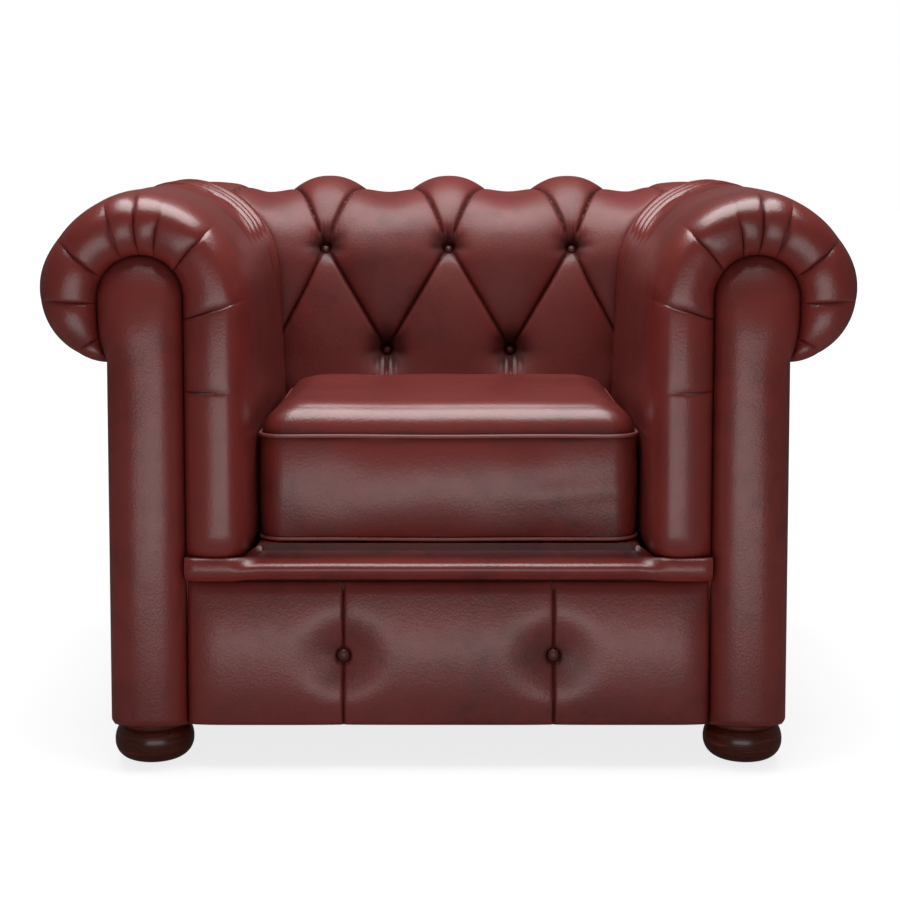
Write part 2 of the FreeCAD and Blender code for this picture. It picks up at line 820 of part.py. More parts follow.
def make_arm_frame(side, name):
    """The scroll board, the rails along the arm and the former half way along."""
    wood_x = body_half_width - flat_leather - gap
    roll_end = front_profile.parts(0.0, upholstery_bottom)[-1][-1][1]
    core = arm_solid(side, scroll_inset)
    outside = box(side * wood_x, side * overall_width, front_y, rear_y, 0, roll_end)
    slab = box(0, side * half_width, scroll_front_y, post_front_y, foot_height, overall_height)
    foot = box(side * facing_inner_x, side * wood_x, scroll_front_y, post_front_y,
               foot_height, upholstery_bottom)
    save("arm_scroll_board_" + name, core.common(slab).cut(outside).fuse(foot).removeSplitter())

    top_rail = box(side * arm_rail_x, side * (arm_rail_x + top_rail_size), post_front_y, back_rail_y,
                   top_rail_bottom, top_rail_top)
    save("arm_top_rail_" + name, top_rail)
    end_y = tuck_rail_y()
    outer_x = facing_inner_x - gap
    low = tuck_rail_bottom
    tuck_rail = prism([
        V(side * tuck_rail_x, post_front_y, low),
        V(side * outer_x, post_front_y, low),
        V(side * outer_x, end_y, low),
        V(side * (mitre_x(end_y) + gap), end_y, low),
        V(side * tuck_rail_x, mitre_y(tuck_rail_x) - gap, low)], V(0, 0, tuck_rail_height))
    save("arm_tuck_rail_" + name, tuck_rail)

    outside = box(side * wood_half_width, side * overall_width, front_y, rear_y, 0, roll_end)
    slab = box(0, side * half_width, former_y, former_y + board, 0, overall_height)
    foot = box(side * side_rail_x, side * wood_half_width, former_y, former_y + board,
               seat_rail_top, upholstery_bottom)
    former = core.common(slab).cut(outside).fuse(foot).removeSplitter()
    save("arm_former_" + name, former.cut(top_rail).cut(tuck_rail))


def make_back_frame():
    """The top rail, the tuck rail and the shaped formers of the back."""
    top_rail = box(-wood_half_width, wood_half_width, back_rail_y, wood_back_y,
                   top_rail_bottom, top_rail_top)
    save("back_top_rail", top_rail)
    front = tuck_rail_y()
    reach = facing_inner_x - gap
    tuck_rail = box(-reach, reach, front, front + post_thickness, tuck_rail_bottom, tuck_rail_top)
    save("back_tuck_rail", tuck_rail)
    formers = []
    roll_end = back_profile.parts(0.0, upholstery_bottom)[-1][-1][1]
    for x in former_xs:
        start_x = x - board / 2
        tail = [(wood_back_y, roll_end), (wood_back_y, length_rail_top),
                (back_rail_y, length_rail_top), (back_rail_y, tuck_rail_bottom)]
        outline = back_profile.region(back_inset, tuck_rail_bottom, tail, lambda y, z: V(start_x, y, z))
        former = Part.Face(outline).extrude(V(board, 0, 0))
        formers.append(former.cut(top_rail).cut(tuck_rail))
    save("back_formers", *formers)


def make_suspension():
    """Webbing across and along the seat, the hessian over it and the cloth under the chair."""
    half = strap_width / 2
    along_z = length_rail_top
    lip_back = scroll_front_y + board
    reach = wood_half_width - strap_thickness
    straps = []
    for number in range(cross_strap_count):
        y = front_rail_back_y + strap_pitch * (number + 0.5)
        straps.append(box(-reach, reach, y - half, y + half, seat_rail_top, along_z))
    save("cross_webbing", *straps)
    straps = []
    for x in length_strap_xs:
        straps.append(box(x - half, x + half, lip_back + gap, back_rail_y + post_thickness / 2,
                          along_z, along_z + strap_thickness))
    save("lengthwise_webbing", *straps)
    low = along_z + strap_thickness
    cloth = box(-scroll_inner_x, scroll_inner_x, front_rail_back_y, back_rail_y, low, low + hessian_thickness)
    save("seat_hessian", cloth)
    reach = body_half_width - flat_leather - 2 * gap
    cover = box(-reach, reach, scroll_front_y, wood_back_y, foot_height - dust_cover_thickness, foot_height)
    for side in SIDES.values():
        for y in (front_foot_y, back_foot_y):
            hole = Part.makeCylinder(foot_neck_radius + dust_cover_clearance, foot_height,
                                     V(side * foot_x, y, 0))
            cover = cover.cut(hole)
    save("dust_cover", cover)


def make_platform():
    """The pad and the cover that the cushion lies on, and the padded lip along the front."""
    low = length_rail_top + strap_thickness + hessian_thickness
    cover_z = seat_height - flat_leather
    reach = seat_half_width - gap
    lip_back = scroll_front_y + board
    end_y = seat_back_y - gap
    save("platform_pad", box(-reach, reach, lip_back + gap, end_y, low, cover_z))
    save("platform_cover", box(-reach, reach, lip_back + gap, end_y, cover_z, seat_height))
    middle_z = (lip_bottom + seat_height) / 2

    def at(y, z):
        return V(-facing_inner_x, y, z)

    top_y = lip_back - lip_round
    low_y = lip_front_y + lip_round
    upper = at(lip_front_y + lip_round, middle_z + lip_height / 4)
    lower = at(lip_front_y + lip_round / 4, lip_bottom + lip_height / 8)
    nose = at(lip_front_y, middle_z)
    edges = [
        line(at(lip_back, lip_bottom), at(lip_back, seat_height)),
        line(at(lip_back, seat_height), at(top_y, seat_height)),
        arc(at(top_y, seat_height), upper, nose),
        arc(nose, lower, at(low_y, lip_bottom)),
        line(at(low_y, lip_bottom), at(lip_back, lip_bottom)),
    ]
    lip = Part.Face(Part.Wire(edges)).extrude(V(2 * facing_inner_x, 0, 0))
    for side in SIDES.values():
        notch = box(side * (seat_half_width - gap), side * half_width, front_y, lip_back,
                    upholstery_bottom - gap, overall_height)
        lip = lip.cut(notch)
    save("seat_lip", lip)


def make_front_border():
    """The padded panel under the lip, drawn in by a vertical crease and a button on each side."""
    back_y = scroll_front_y - gap
    low, high = foot_height, lip_bottom - gap
    reach = facing_inner_x - gap
    small = button_radius + 1.0
    rim = border_bulge * 0.5
    edge = border_bulge * 0.35
    shoulder = border_bulge * 0.8

    def section(x, rim, middle):
        def at(forward, z):
            return V(x, back_y - forward, z)

        below, above = front_button_z - small, front_button_z + small
        swell = (rim + middle) / 2 + border_bulge * 0.16
        edges = [
            line(at(0, high), at(0, low)),
            line(at(0, low), at(rim, low)),
            arc(at(rim, low), at(swell, (low + below) / 2), at(middle, below)),
            line(at(middle, below), at(middle, above)),
            arc(at(middle, above), at(swell, (above + high) / 2), at(rim, high)),
            line(at(rim, high), at(0, high)),
        ]
        return Part.Wire(edges)

    stations = [(0.0, rim, border_bulge)]
    for side in SIDES.values():
        stations += [(side * reach, edge, edge),
                     (side * (reach - border_end_width), rim, shoulder),
                     (side * (reach - border_swell_width), rim, border_bulge)]
        centre = side * front_button_x
        for offset in (-crease_half_width, crease_half_width):
            stations.append((centre + offset, rim, border_bulge))
        for offset in (-small, 0.0, small):
            stations.append((centre + offset, rim, border_dimple))
    wires = [section(*s) for s in sorted(stations)]
    save("front_border", Part.makeLoft(wires, True, True))
    seat_y = back_y - border_dimple - gap
    buttons = [make_button(V(x, seat_y, front_button_z), V(0, -1, 0))
               for x in (-front_button_x, front_button_x)]
    save("front_buttons", *buttons)


def cushion_outline(inset, bulge, z):
    """The cushion's outline at one height: round corners, the front side swollen by bulge."""
    x1 = cushion_half_width - inset
    y0, y1 = cushion_front_y + inset, cushion_back_y - inset
    radius = max(cushion_corner - inset * 0.5, 8.0)
    bend = radius * (1 - math.sqrt(0.5))
    edges = [
        arc(V(-x1 + radius, y0, z), V(0, y0 - bulge - 0.5, z), V(x1 - radius, y0, z)),
        arc(V(x1 - radius, y0, z), V(x1 - bend, y0 + bend, z), V(x1, y0 + radius, z)),
        line(V(x1, y0 + radius, z), V(x1, y1 - radius, z)),
        arc(V(x1, y1 - radius, z), V(x1 - bend, y1 - bend, z), V(x1 - radius, y1, z)),
        line(V(x1 - radius, y1, z), V(-x1 + radius, y1, z)),
        arc(V(-x1 + radius, y1, z), V(-x1 + bend, y1 - bend, z), V(-x1, y1 - radius, z)),
        line(V(-x1, y1 - radius, z), V(-x1, y0 + radius, z)),
        arc(V(-x1, y0 + radius, z), V(-x1 + bend, y0 + bend, z), V(-x1 + radius, y0, z)),
    ]
    return Part.Wire(edges)


lower_piping_z = cushion_bottom + piping_radius
upper_piping_z = cushion_bottom + boxing_height


def cushion_body(shrink):
    """The crowned cushion, shrunk evenly for the foam inside the cover."""
    seat = piping_radius + gap
    nip = piping_radius + gap + 0.2
    low = cushion_bottom + shrink
    middle = (lower_piping_z + upper_piping_z) / 2
    swell = boxing_bulge
    stations = [
        (seat + 4.0, 0.0, low),
        (nip, 0.0, low + 1.0),
        (nip, 0.0, lower_piping_z + seat),
        (0.5, 1.0, lower_piping_z + seat + 4.0),
        (0.0, swell * 0.8, (lower_piping_z + middle) / 2),
        (0.0, swell, middle),
        (0.0, swell * 0.8, (upper_piping_z + middle) / 2),
        (0.5, 1.0, upper_piping_z - seat - 4.0),
        (nip, 0.0, upper_piping_z - seat),
        (nip, 0.0, upper_piping_z + seat - 1.0),
        (14.0, 0.0, upper_piping_z + crown_height * 0.45),
        (40.0, 0.0, upper_piping_z + crown_height * 0.78),
        (90.0, 0.0, upper_piping_z + crown_height * 0.95),
        (150.0, 0.0, upper_piping_z + crown_height),
    ]
    wires = []
    for inset, bulge, z in stations:
        level = z if shrink == 0 or z <= low else z - shrink * (1 if z > upper_piping_z else 0)
        wires.append(cushion_outline(inset + shrink, bulge, level))
    return Part.makeLoft(wires, True, True)


def piping_ring(z):
    """The round cord that closes a seam of the cushion: four straights and four quarter turns."""
    reach = cushion_half_width - cushion_corner
    near_y, far_y = cushion_front_y + cushion_corner, cushion_back_y - cushion_corner
    pieces = []
    for side, y, turn in ((1, far_y, 0), (-1, far_y, 90), (-1, near_y, 180), (1, near_y, 270)):
        bend = Part.makeTorus(cushion_corner, piping_radius, V(0, 0, 0), V(0, 0, 1), 0, 360, 90)
        bend.rotate(V(0, 0, 0), V(0, 0, 1), turn)
        bend.translate(V(side * reach, y, z))
        pieces.append(bend)
    for side in SIDES.values():
        base = V(side * cushion_half_width, near_y, z)
        pieces.append(Part.makeCylinder(piping_radius, far_y - near_y, base, V(0, 1, 0)))
    for y in (cushion_front_y, cushion_back_y):
        pieces.append(Part.makeCylinder(piping_radius, 2 * reach, V(-reach, y, z), V(1, 0, 0)))
    return pieces[0].multiFuse(pieces[1:])


def make_cushion():
    """The loose seat cushion: foam, leather cover, piping, and the zip along its back."""
    shell = cushion_body(0.0)
    core = cushion_body(cover_wall)
    foam_core = cushion_body(cover_wall + gap)
    middle = (lower_piping_z + upper_piping_z) / 2
    slot_half = zip_coil_width / 2
    slot = box(-zip_length / 2, zip_length / 2, cushion_back_y - cover_wall * 2, cushion_back_y + 1,
               middle - slot_half, middle + slot_half)
    save("cushion_cover", shell.cut(core).cut(slot))
    save("cushion_foam", foam_core)
    save("cushion_piping", piping_ring(lower_piping_z), piping_ring(upper_piping_z))

    tape_back = cushion_back_y + zip_tape_thickness
    half = zip_length / 2 + slider_length
    tape = box(-half, half, cushion_back_y, tape_back, middle - zip_tape_width / 2, middle + zip_tape_width / 2)
    coil_half = slot_half
    coil = box(-half, half, tape_back, tape_back + zip_coil_height, middle - coil_half, middle + coil_half)
    save("cushion_zip", tape, coil)

    near = tape_back + slider_gap
    far = tape_back + zip_coil_height + slider_gap + slider_wall
    start = -zip_length / 2
    outer = coil_half + slider_gap + slider_wall
    body = box(start, start + slider_length, near, far, middle - outer, middle + outer)
    channel = box(start - 1, start + slider_length + 1, near - 1, far - slider_wall,
                  middle - coil_half - slider_gap, middle + coil_half + slider_gap)
    pull_half = pull_width / 2
    centre = start + slider_length / 2
    loop = box(centre - pull_half, centre + pull_half, far, far + loop_height,
               middle - pull_half, middle + pull_half)
    tab_y = far + (loop_height - pull_thickness) / 2
    tab = box(centre - pull_half, centre + pull_half, tab_y, tab_y + pull_thickness,
              middle - pull_length, middle - pull_half)
    save("zip_slider", body.cut(channel).fuse(loop).fuse(tab).removeSplitter())


def make_feet():
    """The turned bun feet, their hanger bolts and the glides they stand on."""
    belly_z = foot_height * 0.5
    neck_z = foot_height * 0.9
    low = glide_thickness
    bolts, glides = [], []
    for place, y in (("front", front_foot_y), ("back", back_foot_y)):
        for name, side in SIDES.items():
            def at(r, z):
                return V(r, 0, z)

            bend = V(foot_radius * 0.86, 0, low + (belly_z - low) * 0.27)
            shoulder = V(foot_radius * 0.955, 0, belly_z + (neck_z - belly_z) * 0.62)
            edges = [
                line(at(0, low), at(foot_base_radius, low)),
                arc(at(foot_base_radius, low), bend, at(foot_radius, belly_z)),
                arc(at(foot_radius, belly_z), shoulder, at(foot_neck_radius, neck_z)),
                line(at(foot_neck_radius, neck_z), at(foot_neck_radius, foot_height)),
                line(at(foot_neck_radius, foot_height), at(0, foot_height)),
                line(at(0, foot_height), at(0, low)),
            ]
            foot = Part.Face(Part.Wire(edges)).revolve(V(0, 0, 0), V(0, 0, 1), 360)
            foot.translate(V(side * foot_x, y, 0))
            save("bun_foot_%s_%s" % (place, name), foot.cut(bolt_hole(side, y)))
            base = V(side * foot_x, y, foot_height - bolt_in_foot)
            bolts.append(Part.makeCylinder(bolt_radius, bolt_length, base))
            glides.append(Part.makeCylinder(glide_radius, glide_thickness, V(side * foot_x, y, 0)))
    save("foot_bolts", *bolts)
    save("foot_glides", *glides)


def main():
    os.makedirs(OUT, exist_ok=True)
    make_seat_frame()
    for name, side in SIDES.items():
        make_arm_frame(side, name)
        make_arm_upholstery(side, name)
        make_border(side, name)
        make_facing(side, name)
    make_back_frame()
    make_back()
    make_outside_covers()
    make_suspension()
    make_platform()
    make_front_border()
    make_cushion()
    make_feet()


main()
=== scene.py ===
"""Looks of a rolled-arm, deep-buttoned leather armchair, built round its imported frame.

Laid out as an add-on and run as a script. Shapes are worked out in millimetres in the frame's own
axes: +X to the viewer's right, +Y to the back of the chair, +Z up, origin on the floor in the middle.
"""

import json
import math

import bmesh
import bpy
import numpy as np
from bpy.props import FloatProperty, FloatVectorProperty, PointerProperty
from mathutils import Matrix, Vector


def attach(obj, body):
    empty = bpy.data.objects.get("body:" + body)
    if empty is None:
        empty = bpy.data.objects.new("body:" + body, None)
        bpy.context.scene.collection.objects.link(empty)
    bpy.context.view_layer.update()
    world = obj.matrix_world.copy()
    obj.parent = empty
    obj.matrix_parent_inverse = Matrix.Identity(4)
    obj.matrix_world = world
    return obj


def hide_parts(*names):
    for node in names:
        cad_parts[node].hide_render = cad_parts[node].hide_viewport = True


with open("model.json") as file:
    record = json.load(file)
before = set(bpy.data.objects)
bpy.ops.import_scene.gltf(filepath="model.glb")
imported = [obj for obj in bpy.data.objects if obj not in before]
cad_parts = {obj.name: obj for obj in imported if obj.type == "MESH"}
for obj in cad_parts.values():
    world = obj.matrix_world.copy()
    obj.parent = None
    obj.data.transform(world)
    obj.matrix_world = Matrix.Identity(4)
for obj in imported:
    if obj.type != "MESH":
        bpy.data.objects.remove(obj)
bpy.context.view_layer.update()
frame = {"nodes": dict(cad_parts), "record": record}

bl_info = {
    "name": "Buttoned Leather Armchair",
    "version": (1, 0, 0),
    "blender": (4, 5, 0),
    "location": "3D View > Sidebar > Armchair",
    "description": "Upholstery, finishes and studio for a rolled-arm leather armchair",
    "category": "Object",
}

MM = 0.001
WELD = 0.02
SHARP_ANGLE = math.radians(50.0)
SIDES = {"left": -1, "right": 1}

# Sizes shared with the chair's construction, in millimetres and degrees
HALF_WIDTH = 520.0
REAR_Y = 450.0
SEAT_HALF = 252.0
SEAT_BACK_Y = 158.0
BODY_HALF = 438.0
BACK_FACE_Y = 370.0
UPHOLSTERY_BOTTOM = 268.0
FOOT_HEIGHT = 55.0
TOP = 760.0
ARM_TOP = 749.0
SCROLL_Y = -405.0
BORDER_DEPTH = 39.0
FRONT_RADIUS = 145.0
REAR_RADIUS = 150.0
ROLL_RADIUS = 123.0
BACK_ROLL_RADIUS = 105.0
TUCK_RADIUS = 92.0
ARM_LEAN = 4.0
BACK_LEAN = 6.0
HEAD_X = 395.0
HEAD_Z = 612.0
HEAD_RADIUS = 55.0
FACING_INNER_X = 339.0
FACING_FRONT_Y = -450.0
CORNER_RADIUS = 95.0
BUTTON_PITCH = 200.0
LOWER_ROW_Z = 487.0
UPPER_ROW_Z = 656.0
ROLL_ROW_Z = 700.0
BUTTON_DEPTH = 36.0
FRONT_BUTTON_X = 136.0
FRONT_BUTTON_Z = 148.0
LIP_BOTTOM = 244.5
SEAT_TOP = 290.5
CUSHION_HALF = 247.5
CUSHION_FRONT = -380.0
CUSHION_BACK = 150.0
CUSHION_CORNER = 34.0
LOWER_SEAM_Z = 293.5
UPPER_SEAM_Z = 428.8
FACING_REBATE = 5.0
FOOT_ROUND = 44.0
ARM_PADDING = 48.0
BACK_PADDING = 49.0
CORNER_SWELL = 8.6
UNDERSIDE_Z = 290.1
CROWN_REACH = 248.0
PLATFORM_BOTTOM = 220.5

# Pleats round the front of the arm: the angle about the scroll's centre at the panel's edge and
# at the arm's outline, how deep it is, and how far it runs across the rounded front
PLEATS = (
    (245.0, 220.0, 2.6, 0.66),
    (206.0, 179.6, 4.2, 0.74),
    (141.0, 135.5, 4.6, 0.78),
    (110.0, 104.4, 4.4, 0.70),
    (90.0, 88.0, 4.4, 1.20),
    (67.0, 71.0, 4.4, 0.76),
    (30.0, 36.6, 4.6, 0.84),
    (-6.0, -1.0, 4.4, 0.86),
    (-45.0, -40.6, 4.0, 0.80),
)

# Folds on the inside of the arm beside the mitre: how far before it, half width, depth, bottom and top
CORNER_FOLDS = (
    (38.0, 9.0, 5.0, 500.0, 690.0),
    (88.0, 12.0, 5.0, 530.0, 680.0),
    (150.0, 15.0, 4.5, 580.0, 670.0),
)

# Folds across the top of the arm: where they cross x = 300, and how deep they are
ROLL_FOLDS = ((-170.0, 3.5), (-105.0, 5.5), (-42.0, 6.5), (32.0, 6.5), (118.0, 6.0))


class ChairSizes(bpy.types.PropertyGroup):
    """The soft shapes that a user would change."""

    crease_depth: FloatProperty(
        name="Crease depth", description="How far the diamonds of the back are drawn in along their creases",
        default=0.014, min=0.004, max=0.025, unit="LENGTH")
    pleat_scale: FloatProperty(
        name="Pleat depth", description="How deep the pleats of the arm fronts are, as a factor",
        default=1.0, min=0.0, max=2.0, subtype="FACTOR")
    scallop_height: FloatProperty(
        name="Scallop height", description="How far the top of the back dips between the buttons",
        default=0.024, min=0.0, max=0.03, unit="LENGTH")
    cushion_crown: FloatProperty(
        name="Cushion crown", description="How high the seat cushion rises above its upper seam",
        default=0.028, min=0.005, max=0.035, unit="LENGTH")
    piping_radius: FloatProperty(
        name="Piping radius", description="Radius of the cushion's piping",
        default=0.0024, min=0.0015, max=0.004, unit="LENGTH")


class ChairLooks(bpy.types.PropertyGroup):
    """The colours and the leather's surface."""

    leather: FloatVectorProperty(
        name="Leather", description="Main colour of the leather", subtype="COLOR",
        default=(0.112, 0.0135, 0.0105), min=0.0, max=1.0)
    # Also the colour of the painted shade in creases, dimples, seams and gaps
    leather_dark: FloatVectorProperty(
        name="Leather in folds", description="Colour where the leather is darkened in folds and mottling",
        subtype="COLOR", default=(0.038, 0.0040, 0.0034), min=0.0, max=1.0)
    wood: FloatVectorProperty(
        name="Feet", description="Colour of the stained feet", subtype="COLOR",
        default=(0.040, 0.0050, 0.0012), min=0.0, max=1.0)
    roughness: FloatProperty(
        name="Leather roughness", description="Roughness of the waxed leather", default=0.32,
        min=0.1, max=0.9, subtype="FACTOR")
    grain_size: FloatProperty(
        name="Grain size", description="Size of the leather's pebbles", default=0.0016,
        min=0.0005, max=0.004, unit="LENGTH")


class StudioSettings(bpy.types.PropertyGroup):
    """Light and camera."""

    front_light: FloatProperty(
        name="Front light", description="Power of the low soft lights in front of the chair",
        default=6.2, min=0.0, unit="POWER")
    top_light: FloatProperty(
        name="Top light", description="Power of the soft light above the chair",
        default=116.0, min=0.0, unit="POWER")
    ambient: FloatProperty(
        name="Ambient", description="Strength of the even light from all round", default=0.35,
        min=0.0, max=2.0)
    lens: FloatProperty(
        name="Lens", description="Focal length of the camera, in millimetres on a 36 mm sensor", default=73.0,
        min=20.0, max=200.0)


def smooth(low, high, x):
    """0 up to low, 1 from high on, and an easy curve between them."""
    t = np.clip((x - low) / (high - low), 0.0, 1.0)
    return t * t * (3.0 - 2.0 * t)


def bell(x, width, power=2.0):
    """1 where x is 0, falling away to both sides."""
    return np.exp(-np.abs(x / width) ** power)


def round_over(t):
    """A quarter round: 0 up to 0, 1 from 1 on."""
    return np.sqrt(1.0 - (1.0 - np.clip(t, 0.0, 1.0)) ** 2)


def ripple(points, wavelength, seed):
    """Gentle unevenness between about -1 and 1, the same on every run."""
    spread = np.random.default_rng(seed)
    total = np.zeros(points.shape[:-1])
    for _ in range(7):
        direction = spread.normal(size=3)
        direction *= (2.0 * math.pi / wavelength) * spread.uniform(0.6, 1.5) / np.linalg.norm(direction)
        total += np.sin(points @ direction + spread.uniform(0.0, 6.283)) * spread.uniform(0.5, 1.0)
    return total / 3.2


def round_corner(points):
    """Draws points near the outer back corners in, so that the rolls turn there in a curve."""
    x, y = points[..., 0].copy(), points[..., 1].copy()
    dx = np.abs(x) - (HALF_WIDTH - CORNER_RADIUS)
    dy = y - (REAR_Y - CORNER_RADIUS)
    inside = (dx > 0.0) & (dy > 0.0)
    share = np.where(inside, np.maximum(dx, dy) / np.where(inside, np.hypot(dx, dy), 1.0), 1.0)
    points[..., 0] = np.where(inside, np.sign(x) * (HALF_WIDTH - CORNER_RADIUS + dx * share), x)
    points[..., 1] = np.where(inside, REAR_Y - CORNER_RADIUS + dy * share, y)


class Profile:
    """The outline of a rolled arm or back: a leaning face, two arcs over the top, a drop, a tuck."""

    def __init__(self, lean, centre_h, top, inner_radius, roll_radius, tuck_radius, under_z, outer_h):
        self.lean = math.radians(lean)
        self.centre_h = centre_h
        self.top = top
        self.inner_radius = inner_radius
        self.roll_radius = roll_radius
        self.tuck_radius = tuck_radius
        self.drop = top - roll_radius - under_z
        self.outer_h = outer_h

    def last_angle(self, inset):
        """How far the tuck turns before it meets the flat outside."""
        c3_h = self.centre_h + self.roll_radius - self.tuck_radius
        return math.acos((self.outer_h - c3_h) / (self.tuck_radius - inset))

    def at(self, station, inset=0.0):
        """Points (h, z) at stations from 0 to 5, one unit for each piece of the outline."""
        lean, c_h = self.lean, self.centre_h
        c_z = self.top - self.inner_radius
        r1 = self.inner_radius - inset
        start_h, start_z = c_h - r1 * math.cos(lean), c_z + r1 * math.sin(lean)
        foot_h = start_h - math.tan(lean) * (start_z - UPHOLSTERY_BOTTOM)
        piece = np.clip(station.astype(int), 0, 4)
        t = station - piece
        angle1 = (math.pi - lean) - t * (math.pi / 2 - lean)
        r2 = self.roll_radius - inset
        c2_z = self.top - self.roll_radius
        angle2 = math.pi / 2 * (1.0 - t)
        r3 = self.tuck_radius - inset
        c3_h = c_h + self.roll_radius - self.tuck_radius
        angle4 = -self.last_angle(inset) * t
        h = np.choose(piece, [
            foot_h + (start_h - foot_h) * t, c_h + r1 * np.cos(angle1), c_h + r2 * np.cos(angle2),
            c_h + r2 + 0.0 * t, c3_h + r3 * np.cos(angle4)])
        z = np.choose(piece, [
            UPHOLSTERY_BOTTOM + (start_z - UPHOLSTERY_BOTTOM) * t, c_z + r1 * np.sin(angle1),
            c2_z + r2 * np.sin(angle2), c2_z - self.drop * t, c2_z - self.drop + r3 * np.sin(angle4)])
        return h, z

    def lengths(self):
        """How far along the outline each of its pieces ends."""
        c_z = self.top - self.inner_radius
        face = (c_z + self.inner_radius * math.sin(self.lean) - UPHOLSTERY_BOTTOM) / math.cos(self.lean)
        pieces = [face, self.inner_radius * (math.pi / 2 - self.lean), self.roll_radius * math.pi / 2,
                  self.drop, self.tuck_radius * self.last_angle(0.0)]
        return np.concatenate([[0.0], np.cumsum(pieces)])

    def station(self, distance):
        """The station at a distance along the outline."""
        return np.interp(distance, self.lengths(), np.arange(6.0))


def roll_centre(foot_h, lean, top, radius):
    """The roll's centre that puts the foot of the leaning face at foot_h."""
    angle = math.radians(lean)
    rise = top - radius + radius * math.sin(angle) - UPHOLSTERY_BOTTOM
    return foot_h + radius * math.cos(angle) + math.tan(angle) * rise


UNDER_Z = ARM_TOP - ROLL_RADIUS - 2.0
arm_front = Profile(
    0.0, SEAT_HALF + FRONT_RADIUS, ARM_TOP, FRONT_RADIUS, ROLL_RADIUS, TUCK_RADIUS, UNDER_Z, BODY_HALF)
rear_centre = roll_centre(SEAT_HALF, ARM_LEAN, TOP, REAR_RADIUS)
arm_rear = Profile(
    ARM_LEAN, rear_centre, TOP, REAR_RADIUS, HALF_WIDTH - rear_centre, TUCK_RADIUS, UNDER_Z, BODY_HALF)
back_centre = REAR_Y - BACK_ROLL_RADIUS
lean = math.radians(BACK_LEAN)
back_radius = (back_centre - SEAT_BACK_Y - math.tan(lean) * (TOP - UPHOLSTERY_BOTTOM)) / (
    math.cos(lean) + math.tan(lean) * (math.sin(lean) - 1.0))
back_profile = Profile(
    BACK_LEAN, back_centre, TOP, back_radius, BACK_ROLL_RADIUS, TUCK_RADIUS, UNDER_Z, BACK_FACE_Y)
MITRE = (REAR_Y - SEAT_BACK_Y) / (HALF_WIDTH - SEAT_HALF)
NECK_Z = arm_front.at(np.array([5.0]))[1][0]


def spaced(low, high, spacing, marks=(), fine=1.0, reach=6.0):
    """Places from low to high, closer together around the marks."""
    step = np.full(int((high - low) * 4) + 2, spacing)
    places = np.linspace(low, high, len(step))
    for mark in marks:
        step = np.where(np.abs(places - mark) < reach, np.minimum(step, fine), step)
    density = np.cumsum(1.0 / step)
    count = int((density[-1] - density[0]) * (places[1] - places[0])) + 2
    return np.interp(np.linspace(density[0], density[-1], count), density, places)


def edged(low, high, first, last, fine, coarse):
    """Places from low to high, closer together over the first and last stretches."""
    return np.concatenate([spaced(low, low + first, fine)[:-1], spaced(low + first, high - last, coarse)[:-1],
                           spaced(high - last, high, fine)])


def stacked(x, y, z):
    """Points from their coordinates, each an array or one number for all of them."""
    return np.stack(np.broadcast_arrays(x, y, z), axis=-1)


def grid_normals(points, outwards):
    """Unit normals of a grid of points, on the side that outwards(points) gives."""
    along = np.gradient(points, axis=0)
    across = np.gradient(points, axis=1)
    normals = np.cross(along, across)
    length = np.linalg.norm(normals, axis=-1, keepdims=True)
    normals = normals / np.maximum(length, 1e-9)
    sign = np.sign((normals * outwards(points)).sum(axis=-1, keepdims=True))
    return normals * np.where(sign == 0.0, 1.0, sign)


class Grid:
    """A padded surface as rows of points in millimetres, with how much wear and painted shade darken each
    point.
    """

    def __init__(self, points, wear_and_shade=None):
        self.points = points
        self.wear_and_shade = np.zeros(points.shape[:2]) if wear_and_shade is None else wear_and_shade

    def add_columns(self, *columns):
        """Puts more columns of points after the last one."""
        more = np.concatenate(columns, axis=1)
        self.points = np.concatenate([self.points, more], axis=1)
        self.wear_and_shade = np.concatenate([self.wear_and_shade, np.zeros(more.shape[:2])], axis=1)

    def build(self, name, wrap_columns=True, wrap_rows=False, caps=None):
        """A closed mesh object: quads between the points, and caps, by default over the end rows."""
        rows, columns = self.points.shape[:2]
        index = np.arange(rows * columns).reshape(rows, columns)
        if caps is None:
            caps = [] if wrap_rows else [index[0].tolist(), index[-1].tolist()]
        if wrap_columns:
            index = np.concatenate([index, index[:, :1]], axis=1)
        if wrap_rows:
            index = np.concatenate([index, index[:1]], axis=0)
        faces = np.stack([index[:-1, :-1], index[:-1, 1:], index[1:, 1:], index[1:, :-1]], axis=-1)
        mesh = bpy.data.meshes.new(name)
        mesh.from_pydata((self.points.reshape(-1, 3) * MM).tolist(), [], faces.reshape(-1, 4).tolist() + caps)
        # Painted shade, partly wear: how far the leather is darkened in creases, dimples, seams and gaps
        attribute = mesh.attributes.new("wear_and_shade", "FLOAT", "POINT")
        attribute.data.foreach_set("value", np.clip(self.wear_and_shade, 0.0, 1.0).astype(np.float32).ravel())
        return finish_mesh(name, mesh)


def finish_mesh(name, mesh):
    """Welds seams and poles, turns the faces outwards, and shades the mesh smooth."""
    work = bmesh.new()
    work.from_mesh(mesh)
    bmesh.ops.remove_doubles(work, verts=work.verts, dist=WELD * MM)
    bmesh.ops.dissolve_degenerate(work, edges=work.edges, dist=WELD * MM * 0.1)
    bmesh.ops.recalc_face_normals(work, faces=work.faces)
    for edge in work.edges:
        by_cap = any(len(face.verts) > 4 for face in edge.link_faces)
        if len(edge.link_faces) == 2 and (by_cap or edge.calc_face_angle(0.0) > SHARP_ANGLE):
            edge.smooth = False
    for face in work.faces:
        face.smooth = True
    work.to_mesh(mesh)
    work.free()
    thing = bpy.data.objects.new(name, mesh)
    bpy.context.scene.collection.objects.link(thing)
    return thing


def dress(thing, material, nodes, body="armchair"):
    """Gives a padded piece its material, its body and the construction nodes it stands for."""
    thing.data.materials.clear()
    thing.data.materials.append(material)
    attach(thing, body)
    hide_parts(*nodes)


# Arms


